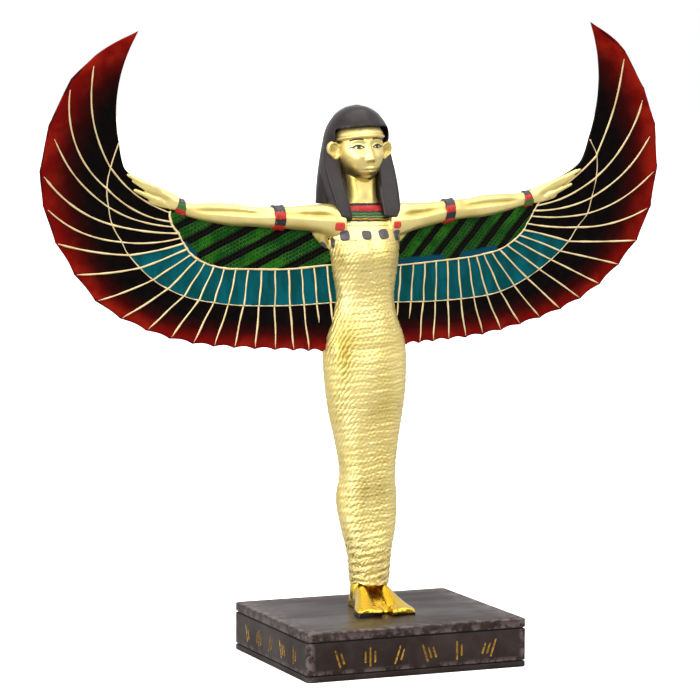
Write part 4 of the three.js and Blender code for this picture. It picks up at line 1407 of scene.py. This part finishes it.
def covert_cells(tree, slope, pitch):
    """Diagonal bands of small cells: (line between cells, green band, tone of a cell)."""
    place_on = add_node(tree, "ShaderNodeTexCoord").outputs["Object"]
    parts = add_node(tree, "ShaderNodeSeparateXYZ", {"Vector": place_on}).outputs
    wobble = maths(tree, "MULTIPLY", maths(tree, "SUBTRACT", noise(tree, 160, 2), 0.5), 1.2 * MM)
    run = maths(tree, "ADD", maths(tree, "MULTIPLY", parts["X"], math.cos(slope)), maths(tree, "MULTIPLY", parts["Z"], math.sin(slope)))
    rise = maths(tree, "SUBTRACT", maths(tree, "MULTIPLY", parts["Z"], math.cos(slope)), maths(tree, "MULTIPLY", parts["X"], math.sin(slope)))
    rise = maths(tree, "ADD", rise, wobble)
    run = maths(tree, "ADD", run, wobble)
    flat = add_node(tree, "ShaderNodeCombineXYZ", {"X": run, "Y": rise}).outputs[0]
    cells = add_node(tree, "ShaderNodeTexBrick", {
        "Vector": flat,
        "Color1": (0.25, 0.25, 0.25, 1.0),
        "Color2": (1.0, 1.0, 1.0, 1.0),
        "Mortar": (0.5, 0.5, 0.5, 1.0),
        "Scale": 1.0,
        "Mortar Size": 0.085 * MM,
        "Mortar Smooth": 0.25,
        "Brick Width": 1.9 * MM,
        "Row Height": 1.75 * MM,
    }, offset=0.5, squash=1.0)
    band_place = maths(tree, "FRACT", maths(tree, "DIVIDE", rise, 5 * 1.75 * MM))
    green = maths(tree, "MULTIPLY", span(tree, band_place, 0.02, 0.07), span(tree, band_place, 0.58, 0.66, 1.0, 0.0))
    return cells.outputs["Fac"], green, cells.outputs["Color"]


def wing_material(hand, side, slope, sea_patches):
    material, tree, sockets = new_material(f"{hand}_wing_paint", specular_ior_level=0.03)
    line, station, rim = (mask_of(tree, name) for name in ("line", "station", "rim"))
    front = mask_of(tree, "front")
    streaks = noise(tree, 130, 4, 0.6)
    wide = span(tree, line, 2.0, 8.0, 17.0, 10.5)
    reach = maths(tree, "DIVIDE", rim, wide)
    reach = maths(tree, "ADD", reach, maths(tree, "MULTIPLY", maths(tree, "SUBTRACT", streaks, 0.5), 0.35))
    reds = blend_colours(tree, span(tree, noise(tree, 90, 3), 0.4, 0.65), BLOOD_RED, RUST_RED)
    vane = blend_colours(tree, span(tree, reach, 0.55, 1.4, 1.0, 0.0), SOOT, DARK_RED)
    vane = blend_colours(tree, span(tree, reach, 0.05, 0.85, 1.0, 0.0), vane, reds)
    # Black in spots along the wing's rim, strongest at the edge.
    rim_darkening = maths(tree, "MULTIPLY", span(tree, rim, 0.25, 0.9, 1.0, 0.0), span(tree, noise(tree, 100, 3), 0.42, 0.56))
    vane = blend_colours(tree, maths(tree, "MULTIPLY", rim_darkening, 0.8), vane, SOOT)
    teal_tone = span(tree, noise(tree, 150, 4, 0.6, stretch=(1, 1, 0.35)), 0.35, 0.7)
    teal = blend_colours(tree, teal_tone, DEEP_TEAL, TEAL)
    in_teal = maths(tree, "GREATER_THAN", line, TEAL_FROM_LINE)
    row = blend_colours(tree, in_teal, SOOT, teal)
    edging, green, tone = covert_cells(tree, slope, 1.75)
    pale = maths(tree, "MULTIPLY", span(tree, noise(tree, 60, 2), 0.45, 0.62), tone)
    leaf = blend_colours(tree, pale, LEAF_GREEN, GRASS_GREEN)
    inked = span(tree, noise(tree, 210, 3), 0.35, 0.65, 0.3, 1.0)
    leaf = blend_colours(tree, maths(tree, "MULTIPLY", edging, inked), leaf, CELL_GREEN)
    dark = blend_colours(tree, maths(tree, "MULTIPLY", edging, 0.3), SOOT, (0.05, 0.055, 0.04, 1.0))
    covert = blend_colours(tree, green, dark, leaf)
    for low, high in sea_patches:
        along = maths(tree, "MULTIPLY", span(tree, line, low - 0.4, low), span(tree, line, high, high + 0.4, 1.0, 0.0))
        near_root = span(tree, maths(tree, "ADD", station, maths(tree, "MULTIPLY", streaks, 0.12)), 0.90, 0.96)
        covert = blend_colours(tree, maths(tree, "MULTIPLY", along, near_root), covert, SEA_BLUE)
    past_root = maths(tree, "GREATER_THAN", station, 1.0)
    past_row = maths(tree, "GREATER_THAN", station, 2.0)
    colour = blend_colours(tree, past_root, covert, row)
    colour = blend_colours(tree, past_row, colour, vane)
    painted = use_group(tree, brushed, {
        "Colour": colour, "Thin Colour": SLATE, "Thinness": 0.03, "Scale": 240.0,
    })
    tree.links.new(painted["Colour"], sockets["Base Color"])
    tree.links.new(painted["Roughness"], sockets["Roughness"])
    in_covert = maths(tree, "MULTIPLY", maths(tree, "SUBTRACT", 1.0, past_root), edging)
    height = maths(tree, "ADD", maths(tree, "MULTIPLY", painted["Height"], 0.25), maths(tree, "MULTIPLY", in_covert, front))
    raise_grain(tree, sockets, height, 0.6, 0.15)
    return material


right_paint = wing_material("right", -1, math.atan(0.5), [(5.6, 7.6)])
left_paint = wing_material("left", 1, math.atan(1.1), [(9.6, 13.5), (15.5, 19.5)])
wing("right", -1, right_paint)
wing("left", 1, left_paint)


# Gilt feather lines


def bead(points, normals, widths, heights, sides=7):
    """Half-round bead along a path: its rings of points, sunk a little into the surface."""
    tangent = np.gradient(points, axis=0)
    tangent /= np.linalg.norm(tangent, axis=1)[:, None]
    aside = np.cross(tangent, normals)
    aside /= np.linalg.norm(aside, axis=1)[:, None]
    angle = np.linspace(0, math.pi, sides)
    over = np.concatenate([angle, [1.5 * math.pi]])
    lift = np.where(over > math.pi, -0.35, np.sin(over))
    across = np.where(over > math.pi, 0.0, np.cos(over))
    return (
        points[:, None, :]
        + aside[:, None, :] * (across[None, :, None] * widths[:, None, None])
        + normals[:, None, :] * (lift[None, :, None] * heights[:, None, None])
    )


def beads_piece(name, paths):
    """All of a wing's beads as one piece."""
    points, faces, shades = [], [], []
    start = 0
    for rings in paths:
        count, sides = rings.shape[:2]
        points.append(rings.reshape(-1, 3))
        faces += (grid_faces(count, sides, closed=True) + start).tolist()
        faces.append([start + i for i in range(sides)][::-1])
        faces.append([start + (count - 1) * sides + i for i in range(sides)])
        # Painted shade on each bead's sides and foot, none on its crown.
        shade = np.tile([1, 0.5, 0.1, 0, 0.1, 0.5, 1, 1], (count, 1))[:, :sides]
        shades.append(shade.ravel())
        start += count * sides
    made = piece_of_lists(name, np.concatenate(points), faces, {"edge": np.concatenate(shades)})
    return outward(made)


def wing_path(side, line, station, face):
    """Path on the wing's front or back face, with its normals."""
    line, station = np.broadcast_arrays(np.asarray(line, float), np.asarray(station, float))
    x, z = wing_plan(side, line, station, notch=False)
    depth = wing_depth(x, z)
    if face == "front":
        y = depth - wing_lift(line, station, 4) + 0.05
    else:
        inward = np.where(line < 0, 1 + line * (1 - WING["inner_edge"]), 1)
        y = depth + mix(WING["thickness"], WING["tip_thickness"], ease(station - 2)) * inward + 0.3
    step = 0.5
    slope_x = (wing_depth(x + step, z) - wing_depth(x - step, z)) / (2 * step)
    slope_z = (wing_depth(x, z + step) - wing_depth(x, z - step)) / (2 * step)
    normal = np.stack([side * slope_x, -np.ones_like(x), slope_z], -1)
    normal /= np.linalg.norm(normal, axis=1)[:, None]
    if face == "back":
        normal = -normal
    return np.stack([side * x, y, z], -1), normal


def hand_drawn(points, size, rng, fade_end=0.5):
    """Widths and heights along a bead that was drawn by hand."""
    along = np.concatenate([[0], np.cumsum(np.linalg.norm(np.diff(points, axis=0), axis=1))])
    phase = rng.uniform(0, TURN, 3)
    wobble = 0.12 * np.sin(along / 3.1 + phase[0]) + 0.08 * np.sin(along / 1.3 + phase[1])
    width = size["width"] * rng.uniform(0.88, 1.1) * (1 + wobble)
    taper = mix(fade_end, 1, ease((along[-1] - along) / 4))
    return width * taper, size["height"] * (1 + 0.5 * wobble) * mix(0.7, 1, taper)


def feather_lines(hand, side, face, material):
    rng = np.random.default_rng(31 + side)
    paths = []
    for line in range(0, LAST_GILT_LINE + 1):
        ends = np.stack(wing_plan(side, line, np.array([2.0, 3.0]), notch=False), -1)
        short = LINE_SHORT.get(line, LINE_SHORT_ELSEWHERE) * rng.uniform(0.8, 1.2)
        last = 3 - short / np.linalg.norm(ends[1] - ends[0])
        if line >= LAST_GILT_LINE - 1:
            last = 2.4
        station = np.linspace(1.0, last, 74 if face == "front" else 50)
        points, normals = wing_path(side, line, station, face)
        sway = 0.16 * np.sin(station * rng.uniform(5, 9) + rng.uniform(0, TURN))
        points[:, 0] += sway * ease((station - 1) / 0.2) * ease((last - station) / 0.1)
        paths.append(bead(points, normals, *hand_drawn(points, LINE_BEAD, rng, 0.25)))
    for station, first, size in ((1.0, -0.2, ROOT_BEAD), (2.0, -1.0, MIDDLE_BEAD)):
        line = np.linspace(first, LAST_GILT_LINE + 0.4, 210 if face == "front" else 120)
        points, normals = wing_path(side, line, station, face)
        paths.append(bead(points, normals, *hand_drawn(points, size, rng, 0.8)))
    made = beads_piece(f"{hand}_wing_{face}_lines", paths)
    return place(made, "gold_paint", material)


def line_gold_material():
    material, tree, sockets = new_material("line_gilding", metallic=0.55)
    # Painted shade on the beads' sides from the edge mask, joined with thin places of the gilt.
    bead_side_shade = maths(tree, "MULTIPLY", mask_of(tree, "edge"), 0.75)
    thin = span(tree, noise(tree, 420, 3, 0.6), 0.5, 0.75, 0.0, 0.55)
    painted = use_group(tree, gilding, {
        "Light Gold": CREAM_GOLD, "Deep Gold": OCHRE, "Shade And Wear": maths(tree, "MAXIMUM", bead_side_shade, thin), "Roughness": 0.38,
    })
    tree.links.new(painted["Colour"], sockets["Base Color"])
    tree.links.new(painted["Roughness"], sockets["Roughness"])
    raise_grain(tree, sockets, painted["Height"], 0.3, 0.1)
    return material


line_gold = line_gold_material()
for hand, side in SIDES.items():
    feather_lines(hand, side, "front", line_gold)
    feather_lines(hand, side, "back", line_gold)


# Feet


def foot_parts(ankle_x, toe_x, toe_y, inner):
    tag = "right" if inner > 0 else "left"
    sole = PLINTH_TOP
    length = HEEL_Y - toe_y
    share = np.linspace(0, 1, 44)[:, None]
    turn = (np.arange(44) / 44)[None, :]
    half_width, height = read(FOOT, share)
    y = HEEL_Y - length * share
    middle = mix(ankle_x, toe_x, ease((ANKLE_Y - y) / (ANKLE_Y - toe_y)) ** 0.8)
    angle = turn * TURN
    rise = np.maximum(0, -np.cos(angle)) ** 0.75
    body = np.stack([
        middle + half_width * np.sin(angle),
        y + 0 * angle,
        sole + height * rise,
    ], -1)
    parts = [tube_piece(f"foot_{tag}", body)]
    for i in range(TOE_COUNT):
        big = 1 if i == 0 else 0
        across = inner * mix(4.9, -5.0, i / (TOE_COUNT - 1))
        radius = 1.5 + 0.5 * big
        back = 0.22 * i**1.5
        start = (toe_x + across * 0.85, toe_y + 4.6 + back, sole + 2.6)
        end = (toe_x + across, toe_y + 0.1 + back, sole + 1.9)
        parts.append(capsule(f"toe_{tag}_{i}", start, end, radius, radius * 0.85))
    ankle_angle = turn * TURN
    z = mix(sole + 5, HEM_Z + 4, share)
    thick = 4.6 + 0.5 * bump(z - 32, 2.5) * np.abs(np.sin(ankle_angle))
    ankle = np.stack([
        ankle_x + thick * np.sin(ankle_angle),
        ANKLE_Y - thick * np.cos(ankle_angle),
        z + 0 * ankle_angle,
    ], -1)
    parts.append(tube_piece(f"ankle_{tag}", ankle))
    return parts


def feet():
    parts = [part for foot in FEET for part in foot_parts(*foot)]
    parts.append(capsule("heel_web", (0, 14, 31), (-1, 9, 29), 4.2, 3.6))
    parts.append(capsule("instep_web", (-0.5, 9, 29), (-1.4, -4, PLINTH_TOP + 2.2), 3.6, 3.2))
    parts.append(capsule("toe_web", (-1.4, -4, PLINTH_TOP + 2.0), (-0.8, -11, PLINTH_TOP + 0.6), 3.2, 1.9))
    made = melted("feet", parts, 0.40, 3, 0.4)
    points = points_of(made)
    made.data.vertices.foreach_set("co", (np.maximum(points, [-999, -999, PLINTH_TOP]) * MM).ravel())
    x, y, z = points.T
    above = z - PLINTH_TOP
    # Painted shadow in dark umber under the toes, where they stand over the plinth.
    right_toe_shadow = (x < -3.5) * ease((-2 - y) / 6) * ease((2.3 - above) / 0.5)
    left_toe_shadow = (x > 1.5) * ease((-12 - y) / 3) * ease((1.3 - above) / 0.4)
    add_mask(made, "toe_shadow", np.clip(right_toe_shadow + left_toe_shadow, 0, 1))
    # Painted shade along the bottom millimetre of the feet and between them.
    add_mask(made, "hollow", np.clip(0.7 * ease((1.0 - above) / 1.0) + 0.35 * bump(x + 2.5, 1.5), 0, 1))
    material, tree, sockets = new_material("foot_gilding")
    painted = use_group(tree, gilding, {
        "Light Gold": YELLOW_GOLD, "Deep Gold": BROWN_GOLD,
        "Shade And Wear": mask_of(tree, "hollow"), "Roughness": 0.22,
    })
    toe_shadow = span(tree, mask_of(tree, "toe_shadow"), 0.35, 0.65)
    tree.links.new(blend_colours(tree, toe_shadow, painted["Colour"], UMBER), sockets["Base Color"])
    tree.links.new(span(tree, toe_shadow, 0.0, 1.0, 1.0, 0.0), sockets["Metallic"])
    tree.links.new(painted["Roughness"], sockets["Roughness"])
    raise_grain(tree, sockets, painted["Height"], 0.15, 0.12)
    return place(made, "gold_paint", material, "figure")


feet()


# Plinth


PLINTH_CORNER = 1.6
# Inset and height of the plinth's side, from the underside up over both grooves
PLINTH_SIDE = [
    (0.5, 0), (0.12, 0.15), (0, 0.5), (0, 2.55), (0.1, 2.75), (0.75, 2.85), (0.8, 3.15), (0.75, 3.4), (0.1, 3.5),
    (0, 3.7), (0, 6), (0, 18.6), (0.1, 18.85), (0.75, 18.95), (0.8, 19.3), (0.75, 19.6), (0.1, 19.75), (0, 20.0),
    (0, 23.2), (0.1, 23.6), (0.35, 23.88), (0.8, 24.0),
]
MARK = {"height": 9.5, "width": 1.1, "depth": 0.5, "z": 10.8}
FRONT_MARKS = {"first": -41, "pitch": 15.7, "count": 6}
SIDE_MARKS = {"first": -31, "pitch": 15.5, "count": 5}


def plinth_ring(inset, z, per_side=40, per_corner=6):
    half_x, half_y = PLINTH_HALF[0] - inset, PLINTH_HALF[1] - inset
    radius = PLINTH_CORNER
    ring = []
    for i in range(4):
        start = i * TURN / 4
        corner_x = (half_x - radius) * (1 if i in (0, 3) else -1)
        corner_y = (half_y - radius) * (1 if i in (0, 1) else -1)
        for j in range(per_corner + 1):
            angle = start + j / per_corner * TURN / 4
            ring.append((corner_x + radius * math.cos(angle), corner_y + radius * math.sin(angle), z))
        following = (i + 1) % 4
        next_x = (half_x - radius) * (1 if following in (0, 3) else -1)
        next_y = (half_y - radius) * (1 if following in (0, 1) else -1)
        angle = start + TURN / 4
        here = (corner_x + radius * math.cos(angle), corner_y + radius * math.sin(angle))
        there = (next_x + radius * math.cos(angle), next_y + radius * math.sin(angle))
        for j in range(1, per_side):
            ring.append((mix(here[0], there[0], j / per_side), mix(here[1], there[1], j / per_side), z))
    return ring


def mark_strokes(row):
    """Strokes of a row of marks: centre along the face, height, slant."""
    for i in range(row["count"]):
        count = 2 + i % 2
        slant = (i % 3 - 1) * 0.32
        for j in range(count):
            reach = MARK["height"] * (1 if j == i % count else 0.62)
            yield row["first"] + i * row["pitch"] + (j - (count - 1) / 2) * MARK["width"] * 2.3, reach, slant


def stroke_cutter(name, place_along, reach, slant, turned):
    """A rounded stroke across a face of the plinth."""
    half = MARK["width"] / 2
    lean = (math.sin(slant) * (reach / 2 - half), math.cos(slant) * (reach / 2 - half))
    distance = PLINTH_HALF[0] if turned else PLINTH_HALF[1]
    ends = []
    for way in (-1, 1):
        along, z = place_along + way * lean[0], MARK["z"] + way * lean[1]
        ends.append((-distance, -along, z) if turned else (along, -distance, z))
    made = capsule(name, ends[0], ends[1], half * 1.06, half * 0.85, 1.0, 14, 12)
    return made


def plinth():
    rings = np.array([plinth_ring(inset, z) for inset, z in PLINTH_SIDE])
    inner = []
    for share in (0.8, 0.5, 0.2):
        top = rings[-1].copy()
        top[:, :2] *= share
        inner.append(top)
    under = rings[0].copy()
    under[:, :2] *= 0.5
    rings = np.concatenate([under[None], rings, np.array(inner)])
    block_piece = outward(tube_piece("plinth_block", rings))
    strokes = []
    for turned, row in ((False, FRONT_MARKS), (True, SIDE_MARKS)):
        for k, (along, reach, slant) in enumerate(mark_strokes(row)):
            strokes.append(outward(stroke_cutter(f"stroke_{turned}_{k}", along, reach, slant, turned)))
    return block_piece, strokes


def plinth_material():
    material, tree, sockets = new_material("plinth_paint", specular_ior_level=0.2)
    painted = use_group(tree, brushed, {
        "Colour": UMBER, "Thin Colour": DUSTY_UMBER, "Thinness": 0.7, "Scale": 45.0,
    })
    worn = maths(tree, "MULTIPLY", mask_of(tree, "edge"), span(tree, noise(tree, 260, 4, 0.65), 0.42, 0.6))
    colour = blend_colours(tree, maths(tree, "MULTIPLY", worn, 0.75), painted["Colour"], (0.16, 0.115, 0.11, 1.0))
    # Painted shade: the two grooves round the plinth are darkened almost to black.
    colour = blend_colours(tree, mask_of(tree, "groove"), colour, SOOT)
    tree.links.new(colour, sockets["Base Color"])
    sheen = noise(tree, 30, 3, 0.55, stretch=(0.35, 1.0, 1.0))
    tree.links.new(span(tree, sheen, 0.3, 0.7, 0.28, 0.5), sockets["Roughness"])
    grain = maths(tree, "ADD", maths(tree, "MULTIPLY", noise(tree, 500, 4, 0.65), 0.6), maths(tree, "MULTIPLY", sheen, 1.4))
    raise_grain(tree, sockets, grain, 0.3, 0.18)
    return material


def gilt_stroke_material():
    material, tree, sockets = new_material("stroke_gilding", coat_weight=0.1)
    worn = span(tree, noise(tree, 700, 4, 0.7), 0.46, 0.66)
    painted = use_group(tree, gilding, {
        "Light Gold": (0.50, 0.29, 0.035, 1.0), "Deep Gold": (0.20, 0.09, 0.01, 1.0), "Shade And Wear": worn, "Roughness": 0.4,
    })
    colour = blend_colours(tree, span(tree, noise(tree, 1100, 3, 0.7), 0.56, 0.66), painted["Colour"], UMBER)
    tree.links.new(colour, sockets["Base Color"])
    tree.links.new(span(tree, worn, 0.0, 1.0, 0.75, 0.3), sockets["Metallic"])
    tree.links.new(painted["Roughness"], sockets["Roughness"])
    raise_grain(tree, sockets, painted["Height"], 0.4, 0.15)
    return material


def finish_plinth():
    block_piece, strokes = plinth()
    dark, gilt = plinth_material(), gilt_stroke_material()
    block_piece.data.materials.append(dark)
    block_piece.data.materials.append(gilt)
    for stroke in strokes:
        stroke.data.materials.append(dark)
        stroke.data.materials.append(gilt)
        for face in stroke.data.polygons:
            face.material_index = 1
    cutter = strokes[0]
    with bpy.context.temp_override(
        active_object=cutter, object=cutter, selected_editable_objects=strokes, selected_objects=strokes
    ):
        bpy.ops.object.join()
    cut = block_piece.modifiers.new("strokes", "BOOLEAN")
    cut.operation = "DIFFERENCE"
    cut.object = cutter
    cut.use_self = True
    settle(block_piece)
    bpy.data.objects.remove(cutter)
    mesh = block_piece.data
    x, y, z = points_of(block_piece).T
    inset = np.minimum(PLINTH_HALF[0] - np.abs(x), PLINTH_HALF[1] - np.abs(y))
    upright = np.maximum(PLINTH_HALF[0] - np.abs(x), PLINTH_HALF[1] - np.abs(y)) < 2.2
    rim = np.maximum((inset < 0.9) * bump(z - PLINTH_TOP, 0.5), upright * 1.0)
    rim = np.maximum(rim, (inset < 0.3) * np.maximum(bump(z - 20.05, 0.2), bump(z - 3.75, 0.2)))
    add_mask(block_piece, "edge", np.clip(rim, 0, 1))
    # Mask of painted shade in the two grooves.
    groove = ((np.abs(z - 3.12) < 0.4) | (np.abs(z - 19.3) < 0.5)) & (inset > 0.5) & (inset < 1.2)
    add_mask(block_piece, "groove", groove * 0.85)
    mesh.shade_smooth()
    mesh.set_sharp_from_angle(angle=math.radians(38))
    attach(block_piece, "root")
    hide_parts("plinth")


finish_plinth()


# Floor, lights and camera


def floor():
    half = 12000
    made = piece_of_lists("floor", np.array([
        (-half, -half, -0.02), (half, -half, -0.02), (half, half, -0.02), (-half, half, -0.02),
    ], float), [[0, 1, 2, 3]])
    material, tree, sockets = new_material("floor_white", roughness=0.7)
    seen = add_node(tree, "ShaderNodeLightPath").outputs["Is Camera Ray"]
    tone = span(tree, noise(tree, 0.8, 2), 0.3, 0.7)
    pale = blend_colours(tree, tone, (0.93, 0.93, 0.93, 1.0), (0.95, 0.95, 0.95, 1.0))
    tree.links.new(blend_colours(tree, seen, (0.4, 0.4, 0.4, 1.0), pale), sockets["Base Color"])
    tree.links.new(pale, sockets["Emission Color"])
    tree.links.new(maths(tree, "MULTIPLY", seen, 0.75), sockets["Emission Strength"])
    made.data.materials.append(material)


def softbox(name, place_at, target, size, watts):
    lamp = bpy.data.lights.new(name, "AREA")
    lamp.shape = "RECTANGLE"
    lamp.size, lamp.size_y = size
    lamp.energy = watts
    made = bpy.data.objects.new(name, lamp)
    bpy.context.scene.collection.objects.link(made)
    made.location = place_at
    made.rotation_euler = (Vector(target) - Vector(place_at)).to_track_quat("-Z", "Y").to_euler()


# Direction of each broad glow around the statue, where it begins and is full, and its strength
GLOWS = [
    ((0.05, -0.55, 0.83), 0.40, 0.98, 0.9),
    ((-0.93, -0.30, 0.20), 0.55, 1.0, 1.1),
    ((0.90, -0.30, 0.30), 0.60, 1.0, 0.6),
    ((0.0, 0.9, 0.45), 0.0, 0.7, 0.45),
]


def studio():
    """White all round for the camera; for the statue a soft light with broad glows."""
    world = bpy.data.worlds.new("studio")
    world.use_nodes = True
    bpy.context.scene.world = world
    tree = world.node_tree
    tree.nodes.clear()
    way = add_node(tree, "ShaderNodeTexCoord").outputs["Generated"]
    total = 0.4
    for direction, begin, full, strength in GLOWS:
        toward = tuple(Vector(direction).normalized())
        facing = add_node(tree, "ShaderNodeVectorMath", {0: way, 1: toward}, operation="DOT_PRODUCT").outputs["Value"]
        total = maths(tree, "ADD", span(tree, facing, begin, full, 0.0, strength), total)
    ambient = add_node(tree, "ShaderNodeBackground", {"Color": (1, 1, 1, 1), "Strength": total})
    seen = add_node(tree, "ShaderNodeBackground", {"Color": (1, 1, 1, 1), "Strength": 1.0})
    both = add_node(tree, "ShaderNodeMixShader", {
        0: add_node(tree, "ShaderNodeLightPath").outputs["Is Camera Ray"], 1: ambient.outputs[0], 2: seen.outputs[0],
    })
    out = add_node(tree, "ShaderNodeOutputWorld")
    tree.links.new(both.outputs[0], out.inputs["Surface"])
    middle = (0, 0, 0.16)
    softbox("left_box", (-1.6, -0.7, 0.8), middle, (1.2, 1.6), 15)
    softbox("front_box", (0.3, -1.5, 1.5), middle, (2.2, 1.4), 14)
    softbox("top_box", (0.0, 0.2, 2.2), middle, (2.0, 1.6), 14)


def camera():
    lens = bpy.data.cameras.new("camera")
    lens.sensor_width = 36
    lens.lens = 3177 / 700 * 36
    lens.clip_start, lens.clip_end = 0.05, 60
    made = bpy.data.objects.new("camera", lens)
    bpy.context.scene.collection.objects.link(made)
    azimuth, elevation, roll = math.radians(-23.1), math.radians(5.4), math.radians(0.25)
    distance, target = 1.559, Vector((-0.0161, 0, 0.1541))
    away = Vector((
        math.sin(azimuth) * math.cos(elevation),
        -math.cos(azimuth) * math.cos(elevation),
        math.sin(elevation),
    ))
    made.location = target + away * distance
    level = (-away).to_track_quat("-Z", "Y")
    made.rotation_mode = "QUATERNION"
    from mathutils import Quaternion
    made.rotation_quaternion = level @ Quaternion((0, 0, 1), roll)
    bpy.context.scene.camera = made


floor()
studio()
camera()
bpy.context.scene.view_settings.view_transform = "Standard"
